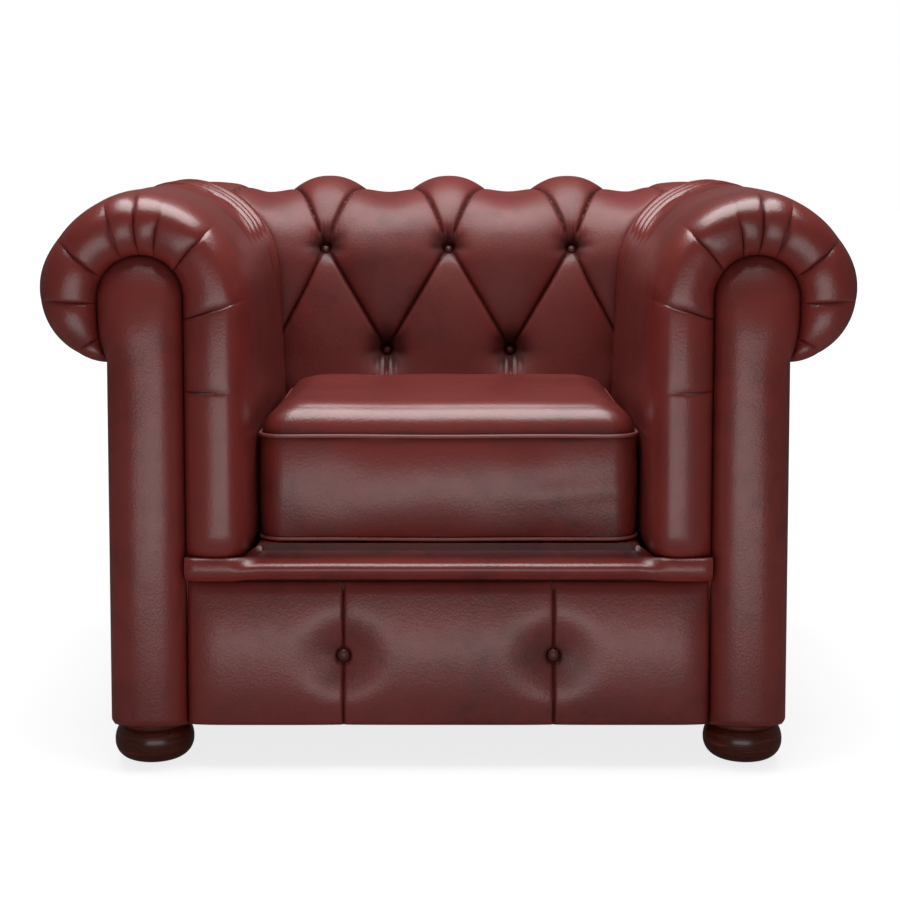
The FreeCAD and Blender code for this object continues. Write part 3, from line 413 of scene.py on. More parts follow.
def inner_edge_x(z):
    """The front panel's edge on the sitter's side, from its foot to its head."""
    share = (z - FOOT_HEIGHT) / (HEAD_Z - FOOT_HEIGHT)
    return FACING_INNER_X + (HEAD_X - HEAD_RADIUS - FACING_INNER_X) * share


def waist_x(z):
    """The front panel's outer edge between its head and the arm's outside face."""
    t = np.clip((HEAD_Z - z) / (HEAD_Z - NECK_Z), 0.0, 1.0)
    return BODY_HALF + (HEAD_X + HEAD_RADIUS - BODY_HALF) * (1.0 - t ** 3)


def keyhole_edge():
    """The edge between the arm's leather and its front panel, from the seat to under the roll."""
    climb = np.linspace(UPHOLSTERY_BOTTOM, HEAD_Z, 80)[:-1]
    turn = np.linspace(math.pi, 0.0, 90)
    fall = np.linspace(HEAD_Z, NECK_Z, 40)[1:]
    x = np.concatenate([inner_edge_x(climb), HEAD_X + HEAD_RADIUS * np.cos(turn), waist_x(fall)])
    z = np.concatenate([climb, HEAD_Z + HEAD_RADIUS * np.sin(turn), fall])
    return np.stack([x, z], axis=1)


def angle_about_head(points):
    """Degrees about the scroll's centre, from over 180 on the sitter's side down past 0 outside."""
    angle = np.degrees(np.arctan2(points[:, 1] - HEAD_Z, points[:, 0] - HEAD_X))
    return np.where((points[:, 0] < HEAD_X) & (angle < 0.0), angle + 360.0, angle)


def distance_along(points):
    """How far along a line of points each of them lies."""
    return np.concatenate([[0.0], np.cumsum(np.hypot(*np.diff(points, axis=0).T))])


def mitre_y(h, slope):
    """Where a line that starts at h on the arm's front and widens by a slope meets the mitre."""
    return (SEAT_BACK_Y + MITRE * (h - slope * SCROLL_Y - SEAT_HALF)) / (1.0 - MITRE * slope)


def make_arm(side, sizes):
    """One arm's leather: the pleated rounded front, the inside, the roll and the folded corner."""
    total = arm_front.lengths()[-1]
    trace = np.linspace(0.0, total, 1500)
    outline = np.stack(arm_front.at(arm_front.station(trace)), axis=1)
    outer_angle = angle_about_head(outline)
    edge = keyhole_edge()
    edge_distance = distance_along(edge)
    edge_angle = angle_about_head(edge)
    outer_marks = [float(np.interp(-p[1], -outer_angle, trace)) for p in PLEATS]
    inner_marks = [float(np.interp(-p[0], -edge_angle, edge_distance)) for p in PLEATS]
    outer_keys = [0.0] + outer_marks + [total]
    inner_keys = [0.0] + inner_marks + [edge_distance[-1]]

    distance = spaced(0.0, total, 4.0, outer_marks, 0.9, 8.0)[:, None]
    station = arm_front.station(distance)
    out_h, out_z = arm_front.at(station)
    inner_distance = np.interp(distance, outer_keys, inner_keys)
    in_h = np.interp(inner_distance, edge_distance, edge[:, 0])
    in_z = np.interp(inner_distance, edge_distance, edge[:, 1])

    # The rounded front, from the panel's edge over its crest, drawn in at its foot
    theta = np.linspace(0.0, math.pi, 40)
    foot = round_over(distance / FOOT_ROUND)
    tuck = 18.0 * (1.0 - foot) * (station < 1.0)
    width = np.hypot(out_h - in_h, out_z - in_z)
    depth = BORDER_DEPTH * np.clip(width / 75.0, 0.0, 1.0) ** 0.7 * foot
    rear_h, rear_z = arm_rear.at(station)
    span = REAR_Y - SCROLL_Y
    rim_y = SCROLL_Y - np.minimum(FACING_REBATE, 0.3 * depth)
    crest_y = SCROLL_Y - depth
    outside = smooth(1.3, 2.3, station)
    shoulder = depth + 110.0 - 92.0 * outside
    power = 2.0 / (3.0 - 0.7 * outside)
    inner = theta < math.pi / 2
    turn = np.where(inner, 0.0, theta - math.pi / 2)
    front_y = np.where(inner, rim_y + (crest_y - rim_y) * np.sin(theta),
                       crest_y + shoulder * (1.0 - np.abs(np.cos(turn)) ** power))
    share = np.where(inner, (1.0 - np.cos(theta)) / 2.0, 0.5 + 0.5 * np.abs(np.sin(turn)) ** power)
    back_by = (front_y - SCROLL_Y) / span * (share > 0.5)
    edge_h = out_h + tuck + (rear_h - out_h) * back_by
    edge_z = out_z + (rear_z - out_z) * back_by
    front_h = in_h + (edge_h - in_h) * share
    front_z = in_z + (edge_z - in_z) * share

    # The rest of the arm, back to the mitred corner
    end_y = mitre_y(out_h, (rear_h - out_h) / span)
    near = np.arange(0.0, 318.0, 2.6)[::-1]
    plain = np.linspace(0.0, 1.0, 20)[1:-1]
    start_y = front_y[:, -1:]
    long_y = np.concatenate([start_y + (end_y - near[0] - start_y) * plain, end_y - near], axis=1)
    blend = (long_y - SCROLL_Y) / span
    long_h = out_h + (rear_h - out_h) * blend
    long_h += tuck * np.exp(-(long_y - start_y) / 16.0)
    long_z = out_z + (rear_z - out_z) * blend
    points = np.concatenate([stacked(front_h, front_y, front_z), stacked(long_h, long_y, long_z)], axis=1)
    long_count = long_y.shape[1]

    def on_front(values, behind=0.0):
        """Values for the columns of the rounded front, and one value for all the others."""
        return np.concatenate([values, np.full(long_count, behind)])

    def outwards(p):
        rise = np.minimum(p[..., 2] - HEAD_Z + 60.0, 200.0)
        away = stacked(p[..., 0] - HEAD_X, 0.0, rise)
        low = p[..., 2] < HEAD_Z - 60.0
        away[..., 2] = np.where(low & (away[..., 0] < 0), 0.0, away[..., 2])
        away[:, :len(theta)] *= 0.3
        away[:, :len(theta), 1] = -400.0 * np.sin(theta)
        return away

    normals = grid_normals(points, outwards)
    push = np.zeros(points.shape[:2])
    wear_and_shade = np.zeros(points.shape[:2])

    # Pleats and the fullness between them
    middle_row = len(long_y) // 2
    across = np.concatenate([theta / math.pi, 1.0 + (long_y[middle_row] - start_y[middle_row]) / 150.0])
    for mark, (_, _, pleat_depth, reach) in zip(outer_marks, PLEATS):
        offset = distance - mark
        groove = np.where(offset < 0.0, np.exp(offset / 2.0), np.exp(-offset / 8.0))
        run = 1.0 - (smooth(0.95, 1.5, across) if reach > 1.0 else smooth(reach - 0.28, reach, across))
        push -= sizes.pleat_scale * pleat_depth * groove * run
        # Painted shade along each pleat's groove
        wear_and_shade = np.maximum(wear_and_shade, 0.6 * bell(offset, 2.4) * run)
    for low, high in zip(outer_keys[1:-1], outer_keys[2:]):
        bulge = np.sin(math.pi * np.clip((distance - low) / (high - low), 0.0, 1.0)) ** 0.7
        push += 2.2 * bulge * on_front(np.sin(theta))
    # Painted shade along the edge where the rounded front meets the panel
    wear_and_shade = np.maximum(wear_and_shade, 0.5 * on_front(bell(theta, 0.32)))
    gather = np.abs(np.sin(distance * math.pi / 11.0)) * (distance > outer_marks[1])
    push -= 0.7 * gather * on_front(bell(theta - 0.35, 0.35))

    # Folds at the back corner: the mitre, grooves beside it and a fan over the roll
    x, y, z = np.moveaxis(points, -1, 0)
    to_mitre = np.maximum(end_y - y, 0.0)
    push -= 9.0 * bell(to_mitre, 7.0, 1.5) * (station > 0.2)
    # Painted shade along the mitre
    wear_and_shade = np.maximum(wear_and_shade, bell(to_mitre, 7.0))
    for place, wide, deep, low, high in CORNER_FOLDS:
        wander = 10.0 * np.sin(z / 48.0 + place)
        run = smooth(low, low + 50.0, z) * (1.0 - smooth(high - 40.0, high, z)) * (x < 360.0)
        line = bell(to_mitre - place - wander, wide)
        push -= deep * run * line
        # Painted shade in each groove beside the mitre
        wear_and_shade = np.maximum(wear_and_shade, 0.3 * run * line)
    over = smooth(664.0, 700.0, z) * (1.0 - smooth(450.0, 500.0, x))
    for place, deep in ROLL_FOLDS:
        off = y - place - 0.75 * (x - 300.0)
        groove = np.where(off > 0.0, bell(off, 9.0), bell(off, 24.0, 1.6))
        push += over * deep * (0.7 * bell(off - 15.0, 9.0) - groove)
        # Painted shade in each fold over the roll
        wear_and_shade = np.maximum(wear_and_shade, 0.5 * over * bell(off + 2.0, 6.0))

    # The roll's own unevenness, and the front's edge led under the panel
    rolled = smooth(0.9, 1.6, station) * (1.0 - 0.5 * smooth(4.4, 5.0, station))
    outer_side = on_front(smooth(0.5, 0.95, theta / math.pi), 1.0)
    near_front = bell(np.maximum(y - SCROLL_Y, 0.0), 60.0) * outer_side
    push += (5.0 * smooth(2.6, 3.0, station) - 4.0 * bell(station - 2.4, 0.34)) * near_front
    push -= 1.6 * rolled * outer_side * smooth(-200.0, 200.0, y)
    push += 0.7 * ripple(stacked(x * side, y, z), 130.0, 11) * on_front(np.sin(theta) * 0.4, 1.0)
    push *= on_front(smooth(0.05, 0.95, theta), 1.0)
    points = points + normals * push[..., None]
    under = 1.6 * on_front(bell(theta, 0.06)) / np.maximum(width, 0.01)
    points[..., 0] += under * (in_h - out_h)
    points[..., 2] += under * (in_z - out_z)

    # The inner face of the padding closes the piece
    inner_h, inner_z = arm_front.at(station, ARM_PADDING)
    far_h, far_z = arm_rear.at(station, ARM_PADDING)
    end_inner = mitre_y(inner_h, (far_h - inner_h) / span)
    share = (end_inner - SCROLL_Y) / span
    grid = Grid(points, wear_and_shade)
    far_h, far_z = inner_h + (far_h - inner_h) * share, inner_z + (far_z - inner_z) * share
    grid.add_columns(stacked(far_h, end_inner, far_z), stacked(inner_h, SCROLL_Y, inner_z))
    round_corner(grid.points)
    grid.points[..., 0] *= side
    return grid


class ARMCHAIR_OT_arms(bpy.types.Operator):
    """Cover both arms in one piece of leather each, pleated round the front"""

    bl_idname = "armchair.arms"
    bl_label = "Arms"

    def execute(self, context):
        for name, side in SIDES.items():
            grid = make_arm(side, context.scene.chair_sizes)
            nodes = ("inside_arm_cover_" + name, "arm_foam_" + name, "pleated_arm_border_" + name)
            dress(grid.build("arm_leather_" + name), leather(context, "arm_leather"), nodes)
        return {"FINISHED"}


def make_facing(side):
    """The padded panel on the front of the arm, wrapped round the edge of its board."""
    low = FOOT_HEIGHT + 0.3
    up = np.concatenate([np.linspace(0.0, 0.05, 14)[:-1], np.linspace(0.05, 1.0, 60)])
    levels = low + (HEAD_Z - low) * up
    left = inner_edge_x(levels)
    right = waist_x(levels) - 12.0 * (1.0 - round_over((levels - FOOT_HEIGHT) / 12.0))
    middle = left + (right - left) / 2.0 + (HEAD_X - (left[-1] + right[-1]) / 2.0)
    turn = np.linspace(math.pi, 0.0, 50)[1:-1]

    def ring(k, inset):
        """One line up the inner edge, round the head and down the outer edge."""
        up_x = middle + (left + inset - middle) * k
        down_x = middle + (right - inset - middle) * k
        radius = (HEAD_RADIUS - inset) * k
        x = np.concatenate([up_x, HEAD_X + radius * np.cos(turn), down_x[::-1]])
        z = np.concatenate([levels, HEAD_Z + radius * np.sin(turn), levels[::-1]])
        return x, z

    shares = np.concatenate([1.0 - np.linspace(0.0, 1.0, 26) ** 1.9 * 0.55, np.linspace(0.45, 0.0, 9)[1:]])
    front = FACING_FRONT_Y + 2.0
    flat = SCROLL_Y - FACING_REBATE - 1.0
    head = np.concatenate([np.zeros(len(levels)), np.sin(turn), np.zeros(len(levels))])
    rows = []
    for k in shares[::-1]:
        x, z = ring(k, 0.0)
        full = (1.0 - k ** (2.5 - 0.3 * head)) ** (0.55 + 0.1 * head)
        full *= 1.0 - 0.44 * smooth(565.0, 690.0, z)
        rows.append(stacked(x, flat - (flat - front) * full * round_over((z - low) / 15.0), z))
    for inset, y in ((0.0, SCROLL_Y - 0.4), (3.2, SCROLL_Y - 0.4), (3.2, flat)):
        x, z = ring(1.0, inset)
        rows.append(stacked(x, y, np.maximum(z, low + inset)))
    points = np.array(rows)
    wavy = points[:-4] * np.array([side, 1.0, 1.0])
    points[:-4, :, 1] += 0.5 * ripple(wavy, 120.0, 21) * (points[:-4, :, 1] < flat - 5.0)
    wear_and_shade = np.zeros(points.shape[:2])
    # Painted shade along the panel's edge, in the gap next to the arm's rounded front
    wear_and_shade[len(shares) - 3:len(shares)] = 0.8
    points[..., 0] *= side
    return Grid(points, wear_and_shade)


class ARMCHAIR_OT_facings(bpy.types.Operator):
    """Pad the plain panels on the fronts of the arms"""

    bl_idname = "armchair.facings"
    bl_label = "Arm fronts"

    def execute(self, context):
        for name, side in SIDES.items():
            grid = make_facing(side)
            index = np.arange(grid.wear_and_shade.size).reshape(grid.wear_and_shade.shape)
            foot = index[:, 0].tolist() + index[::-1, -1].tolist()
            panel = grid.build("arm_front_panel_" + name, wrap_columns=False, caps=[foot, index[-1].tolist()])
            dress(panel, leather(context, "arm_leather"), ("arm_facing_" + name,))
        return {"FINISHED"}


# Back


def back_rows():
    """How far along the back's outline the three rows of buttons lie."""
    trace = np.linspace(0.0, back_profile.lengths()[-1], 4000)
    z = back_profile.at(back_profile.station(trace))[1]
    rising = trace < back_profile.lengths()[2]
    lower = np.interp(LOWER_ROW_Z, z[rising], trace[rising])
    upper = np.interp(UPPER_ROW_Z, z[rising], trace[rising])
    roll = np.interp(-ROLL_ROW_Z, -z[~rising], trace[~rising])
    return float(lower), float(upper), float(roll)


def tufting(x, distance, sizes):
    """How far the leather stands out from the back's outline, and how much wear and painted shade darken it.
    """
    lower, upper, roll = back_rows()
    q_free = np.interp(distance, [lower - (upper - lower), lower, upper, roll, roll + 200.0],
                       [-1.0, 0.0, 1.0, 2.0, 3.2])
    q = np.clip(q_free, 0.0, 2.0)
    pitch = BUTTON_PITCH
    beyond = np.maximum(np.abs(x) - pitch, 0.0) * 0.40 * (1.0 - smooth(0.8, 1.2, q_free))
    drawn = x + np.sign(x) * beyond
    near_a = (drawn / pitch + q / 2.0 + 0.5) % 1.0
    near_b = (drawn / pitch - q / 2.0 + 0.5) % 1.0
    spacing = np.where(q_free < 1.0, upper - lower, roll - upper)
    sloped = (q_free > 0.0) & (q_free < 2.0)
    gradient = np.where(sloped, np.hypot(1.0 / pitch, 0.5 / spacing), 1.0 / pitch)
    off = np.minimum(np.minimum(near_a, 1 - near_a), np.minimum(near_b, 1 - near_b)) / gradient
    fullness = 16.0 * near_a * (1 - near_a) * near_b * (1 - near_b)
    crease = sizes.crease_depth / MM
    fade = 1.0 - 0.85 * smooth(0.0, -0.35, q_free)
    fade *= 1.0 - 0.35 * smooth(2.2, 3.0, q_free)
    out = -crease * (1.0 - fullness ** 0.42) * fade + 1.5
    out -= 2.6 * bell(off, 2.6) * fade
    # Painted shade along the creases
    wear_and_shade = 0.75 * bell(off, 2.8) * fade

    crest = smooth(1.05, 1.5, q_free) * (1.0 - smooth(2.3, 3.0, q_free))
    dip = ((1.0 - np.cos(2.0 * math.pi * x / pitch)) / 2.0) ** 1.25
    corner = smooth(300.0, 370.0, np.abs(x))
    dip = dip * (1.0 - corner) + 0.42 * corner
    out += crest * (5.0 - sizes.scallop_height / MM * dip)

    # Each row of buttons: how far along it lies and where its buttons are, then how deep and how wide
    # they draw the leather in, and how wide the painted shade round them is
    rows = (
        (lower, (-0.5, 0.5), 16.0, 15.0, 25.0),
        (upper, (-1.0, 0.0, 1.0), 15.0, 13.0, 19.0),
        (roll, (-1.5, -0.5, 0.5, 1.5), 10.0, 13.0, 19.0),
    )
    for place, offsets, pull, wide, shade_reach in rows:
        for offset in offsets:
            dx, ds = x - offset * pitch, distance - place
            radius = np.hypot(dx, ds)
            out -= pull * np.exp(-np.maximum(radius - 8.0, 0.0) / wide)
            if place == upper:
                out -= 3.4 * bell(dx, 13.0) * bell(ds - 26.0, 13.0) * np.sin(dx * math.pi / 8.0) ** 2
            if place == lower:
                out -= 2.4 * bell(dx, 13.0) * bell(ds + 28.0, 13.0) * np.cos(dx * math.pi / 9.0) ** 2
            out -= 0.8 * bell(radius - 22.0, 11.0) * (0.5 + 0.5 * np.cos(np.arctan2(dx, ds) * 7.0 + offset))
            # Painted shade round each button
            wear_and_shade = np.maximum(wear_and_shade, bell(np.maximum(radius - 9.0, 0.0), shade_reach, 1.5))
            if place == roll:
                crease_line = smooth(0.0, 14.0, ds) * bell(dx, 3.0)
                out -= 3.0 * crease_line
                # Painted shade along the short crease below each roll button
                wear_and_shade = np.maximum(wear_and_shade, 0.6 * crease_line)
    out = np.maximum(out, -BUTTON_DEPTH - 0.4)
    for place, offsets, *_ in rows:
        for offset in offsets:
            seat = 1.0 - smooth(8.0, 11.0, np.hypot(x - offset * pitch, distance - place))
            out = out * (1.0 - seat) - BUTTON_DEPTH * seat
    return out, wear_and_shade


def make_back(sizes):
    """The buttoned inside back, over the roll and down to where it tucks under behind."""
    lower, _, roll = back_rows()
    total = back_profile.lengths()[-1]
    distance = np.concatenate([
        spaced(0.0, lower - 70.0, 7.0), spaced(lower - 70.0, roll + 20.0, 2.5)[1:],
        spaced(roll + 20.0, total, 5.0)[1:]])[:, None]
    station = back_profile.station(distance)
    y, z = back_profile.at(station)
    step = np.gradient(np.concatenate([y, z], axis=1), axis=0)
    step /= np.linalg.norm(step, axis=1, keepdims=True)
    reach = SEAT_HALF + (y - SEAT_BACK_Y) / MITRE
    across = np.linspace(-1.0, 1.0, 331)
    x = reach * across
    out, wear_and_shade = tufting(x, distance * np.ones_like(x), sizes)
    edge = reach - np.abs(x)
    out -= 9.0 * bell(edge, 7.0, 1.5) * (station > 0.2)
    # Painted shade along the mitre at both ends
    wear_and_shade = np.maximum(wear_and_shade, bell(edge, 7.0))
    base = stacked(x, y, z)
    out += 0.6 * ripple(base, 90.0, 31) * (1.0 - wear_and_shade)
    # Each end follows the mitre as the leather moves in or out
    out_y, out_z = -step[:, 1:] * out, step[:, :1] * out
    out_x = np.sign(x) * out_y / MITRE * smooth(0.75, 1.0, np.abs(across))
    inner_y, inner_z = back_profile.at(station, BACK_PADDING)
    inner_x = SEAT_HALF + (inner_y - SEAT_BACK_Y) / MITRE
    grid = Grid(base + stacked(out_x, out_y, out_z), wear_and_shade)
    grid.add_columns(stacked(inner_x, inner_y, inner_z), stacked(-inner_x, inner_y, inner_z))
    round_corner(grid.points)
    return grid


class ARMCHAIR_OT_back(bpy.types.Operator):
    """Draw the back in with its buttons and creases"""

    bl_idname = "armchair.back"
    bl_label = "Buttoned back"

    def execute(self, context):
        grid = make_back(context.scene.chair_sizes)
        back = grid.build("buttoned_back_leather")
        dress(back, leather(context, "back_leather"), ("buttoned_inside_back",))
        return {"FINISHED"}


def panel_grid(u_line, v_line, outer, inner):
    """A thin padded panel: outer(u, v) is its face and inner(u, v) its back."""
    grid = Grid(outer(*np.meshgrid(u_line, v_line, indexing="ij")))
    grid.add_columns(inner(*np.meshgrid(u_line, [v_line[-1], v_line[0]], indexing="ij")))
    return grid


def pillow(t, edge, length):
    """0 at both ends of a length and 1 away from them."""
    return round_over(np.minimum(t, length - t) / edge)


def puffed(t, levels, z, reach):
    """How full a flat panel is: 0 at its edges and 1 away from them."""
    return pillow(t, 14.0, reach) * pillow(z - levels[0], 14.0, levels[-1] - levels[0])


def make_outside_arm(side, levels):
    """The flat panel on the outside of an arm, swollen a little at its back corner."""
    depths = edged(SCROLL_Y + 0.4, BACK_FACE_Y + CORNER_SWELL, 13.6, 14.0 + CORNER_SWELL, 1.6, 9.0)

    def outer(y, z):
        puff = puffed(y - depths[0], levels, z, depths[-1] - depths[0])
        x = BODY_HALF - 2.0 + 3.6 * puff + 0.6 * puff * ripple(stacked(BODY_HALF, y * side, z), 160.0, 41)
        x += CORNER_SWELL * smooth(BACK_FACE_Y - 50.0, BACK_FACE_Y - 4.0, y)
        return stacked(x * side, y, z)

    def inner(y, z):
        x = BODY_HALF - 2.2 + CORNER_SWELL * smooth(BACK_FACE_Y - 12.0, BACK_FACE_Y - 5.0, y)
        return stacked(x * side, y, z)

    return panel_grid(depths, levels, outer, inner)


def make_outside_back(levels):
    """The flat panel behind the back, swollen a little at both ends."""
    reach = BODY_HALF + CORNER_SWELL - 1.0

    def outer(x, z):
        puff = puffed(x + reach, levels, z, 2 * reach)
        y = BACK_FACE_Y - 1.6 + 3.6 * puff + 0.8 * puff * ripple(stacked(x, BACK_FACE_Y, z), 190.0, 43)
        y += CORNER_SWELL * smooth(reach - 50.0, reach - 6.0, np.abs(x))
        return stacked(x, y, z)

    def inner(x, z):
        return stacked(x, BACK_FACE_Y - 2.0 + CORNER_SWELL * smooth(reach - 16.0, reach - 9.0, np.abs(x)), z)

    return panel_grid(edged(-reach, reach, 14.0, 14.0, 1.6, 9.0), levels, outer, inner)


class ARMCHAIR_OT_outside(bpy.types.Operator):
    """Cover the outside of the arms and of the back"""

    bl_idname = "armchair.outside"
    bl_label = "Outside covers"

    def execute(self, context):
        levels = edged(FOOT_HEIGHT, NECK_Z - 0.4, 14.0, 14.0, 1.6, 9.0)
        finish = leather(context, "arm_leather")
        for name, side in SIDES.items():
            cover = make_outside_arm(side, levels).build("outside_arm_leather_" + name)
            dress(cover, finish, ("outside_arm_cover_" + name,))
        cover = make_outside_back(levels).build("outside_back_leather")
        dress(cover, finish, ("outside_back_cover",))
        return {"FINISHED"}


# Front


def make_front_border():
    """The padded panel under the lip, drawn in at its two buttons and their upright creases."""
    back_y = SCROLL_Y - 0.4
    low, high = FOOT_HEIGHT, LIP_BOTTOM - 0.4
    reach = FACING_INNER_X - 0.6
    buttons = (-FRONT_BUTTON_X, FRONT_BUTTON_X)
    xs = spaced(-reach, reach, 4.0, buttons, 1.1, 26.0)
    zs = edged(low, high, 12.0, 16.0, 1.2, 3.0)

    def outer(x, z):
        sides = pillow(x + reach, 46.0, 2 * reach) ** 0.8
        ends = round_over((z - low) / 10.0) * round_over((high - z) / 16.0)
        out = 28.0 - np.maximum(z - 116.0, 0.0) ** 2 / 800.0 - np.maximum(116.0 - z, 0.0) ** 2 / 480.0
        for centre in buttons:
            dx = np.abs(x - centre)
            radius = np.hypot(dx, (z - FRONT_BUTTON_Z) * 1.06)
            out -= 3.0 * np.exp(-dx / 12.0) + 2.8 * bell(dx, 2.0)
            out -= 2.1 * np.log1p(np.exp((60.0 - radius) / 7.0))
        out = np.maximum(out, 5.3) * (0.25 + 0.75 * sides) * ends + 1.0
        for centre in buttons:
            seat = 1.0 - smooth(8.0, 10.5, np.hypot(x - centre, z - FRONT_BUTTON_Z))
            out = out * (1.0 - seat) + 5.4 * seat
        out += 0.8 * ripple(stacked(x, back_y, z), 110.0, 51) * sides * ends
        return stacked(x, back_y - out, z)

    def inner(x, z):
        return stacked(x, back_y, z)

    grid = panel_grid(xs, zs, outer, inner)
    x, _, z = np.moveaxis(grid.points[:, :len(zs)], -1, 0)
    # Painted shade in each button's bowl and along its upright crease
    for centre in buttons:
        radius = np.hypot(x - centre, z - FRONT_BUTTON_Z)
        mark = 0.30 * (1.0 - smooth(30.0, 62.0, radius)) + 0.40 * (1.0 - smooth(8.0, 16.0, radius))
        mark = np.maximum(mark, 0.9 * bell(x - centre, 2.2))
        grid.wear_and_shade[:, :len(zs)] = np.maximum(grid.wear_and_shade[:, :len(zs)], mark)
    return grid


# Sections of the lip in its middle and at its ends, as y and z, from below round its front to its top
LIP_MIDDLE = (
    (-387.0, 244.9), (-408.0, 244.9), (-413.0, 246.0), (-420.5, 249.0), (-428.5, 253.5), (-434.0, 258.5),
    (-436.0, 263.5), (-434.8, 268.3), (-430.8, 271.8), (-423.0, 274.0), (-407.0, 277.0), (-389.5, 280.6),
    (-387.0, 289.6),
)
LIP_END = (
    (-387.0, 244.9), (-408.0, 244.9), (-422.0, 246.5), (-433.0, 251.0), (-439.5, 257.5), (-441.5, 264.0),
    (-440.8, 271.0), (-438.2, 277.5), (-433.5, 280.5), (-427.0, 277.0), (-418.0, 270.0), (-387.0, 267.2),
)


def rounded_row(corners, count):
    """A smooth line through the corners of a section, as evenly spaced points."""
    corners = np.array(corners)
    inner = corners[1:-1]
    padded = np.concatenate([inner[:1], inner, inner[-1:]])
    t = np.linspace(0.0, 1.0, 12)[:-1, None]
    dense = [0.5 * (2 * p1 + (p2 - p0) * t + (2 * p0 - 5 * p1 + 4 * p2 - p3) * t * t
                    + (3 * p1 - p0 - 3 * p2 + p3) * t ** 3)
             for p0, p1, p2, p3 in zip(padded[:-3], padded[1:-2], padded[2:-1], padded[3:])]
    line = np.concatenate(dense + [inner[-1:]])
    length = distance_along(line)
    even = np.linspace(0.0, length[-1], count)
    line = np.stack([np.interp(even, length, line[:, 0]), np.interp(even, length, line[:, 1])], axis=1)
    return np.concatenate([corners[:1], line, corners[-1:]])


def make_lip():
    """The padded roll under the cushion, whose ends flare out below the rounded feet of the arms."""
    reach = FACING_INNER_X - 0.4
    middle, end = rounded_row(LIP_MIDDLE, 44), rounded_row(LIP_END, 44)
    turn = np.linspace(0.0, 1.0, len(middle))
    rows, row_wear_and_shade = [], []
    for x in spaced(-reach, reach, 5.0, (-SEAT_HALF, SEAT_HALF), 2.0, 50.0):
        flare = smooth(SEAT_HALF - 16.0, SEAT_HALF + 34.0, abs(x))
        y, z = (middle + (end - middle) * flare).T
        ahead = 2.0 * bell(abs(x) - SEAT_HALF - 2.0, 22.0) + 5.0 * smooth(reach - 9.0, reach, abs(x))
        rows.append(stacked(x, y + np.sin(math.pi * turn) * (ahead + 0.6 * math.sin(x / 31.0)), z))
        # Painted shade under the lip's front and at its flared ends under the arms' feet; shade is a painted
        # shadow of the cushion on the top behind the crest
        shade = 0.6 * smooth(273.0, 277.0, z) * (1.0 - flare)
        row_wear_and_shade.append(np.maximum(0.7 * bell(turn - 0.1, 0.1), shade) + 0.8 * flare * bell(turn - 0.85, 0.12))
    return Grid(np.array(rows), np.array(row_wear_and_shade))


class ARMCHAIR_OT_front(bpy.types.Operator):
    """Pad the lip and the buttoned panel under the seat"""

    bl_idname = "armchair.front"
    bl_label = "Lip and front panel"

    def execute(self, context):
        finish = leather(context, "front_leather")
        dress(make_front_border().build("front_panel_leather"), finish, ("front_border",))
        dress(make_lip().build("seat_lip_leather"), finish, ("seat_lip",))
        return {"FINISHED"}


# Seat


def cushion_ring(inset, bow, z):
    """The cushion's outline at one height, as a closed row of points starting in front."""
    half = CUSHION_HALF - inset
    front, back = CUSHION_FRONT + inset, CUSHION_BACK - inset
    radius = max(CUSHION_CORNER - inset * 0.4, 10.0)
    share = np.linspace(0.0, 1.0, 96)[1:-1, None]
    arcs = []
    for turn, (x, y) in enumerate(((1, 0), (1, 1), (-1, 1), (-1, 0))):
        angle = np.linspace(turn - 1.0, turn, 14) * math.pi / 2
        centre = x * (half - radius), back - radius if y else front + radius
        arcs.append(centre + radius * np.stack([np.cos(angle), np.sin(angle)], axis=1))
    pieces = []
    for arc, following in zip(arcs, arcs[1:] + arcs[:1]):
        pieces += [arc, arc[-1] + (following[0] - arc[-1]) * share]
    ring = np.concatenate(pieces)
    along = np.clip(1.0 - (ring[:, 0] / half) ** 2, 0.0, 1.0)
    forward = smooth(front + 60.0, front, ring[:, 1])
    ring[:, 1] -= bow * along ** 0.6 * forward
    near_front = smooth(front + 90.0, front + 20.0, ring[:, 1])
    ring[:, 0] += np.sign(ring[:, 0]) * 3.0 * smooth(0.7, 1.0, np.abs(ring[:, 0]) / half) * near_front
    return np.concatenate([ring, np.full((len(ring), 1), z)], axis=1)


def crown_rise(inward, crown):
    """How far the cushion's top stands above its seam: a round shoulder, then a slow rise."""
    steep, slow = math.radians(62.0), math.radians(3.0)
    bend = 0.97 * crown / (math.cos(slow) - math.cos(steep))
    reach = bend * (math.sin(steep) - math.sin(slow))
    if inward < reach:
        lean = math.sin(steep) - inward / bend
        return bend * (math.sqrt(1.0 - lean * lean) - math.cos(steep))
    rest = (inward - reach) / (CROWN_REACH - reach)
    return bend * (math.cos(slow) - math.cos(steep)) + 0.03 * crown * math.sin(math.pi / 2 * rest)


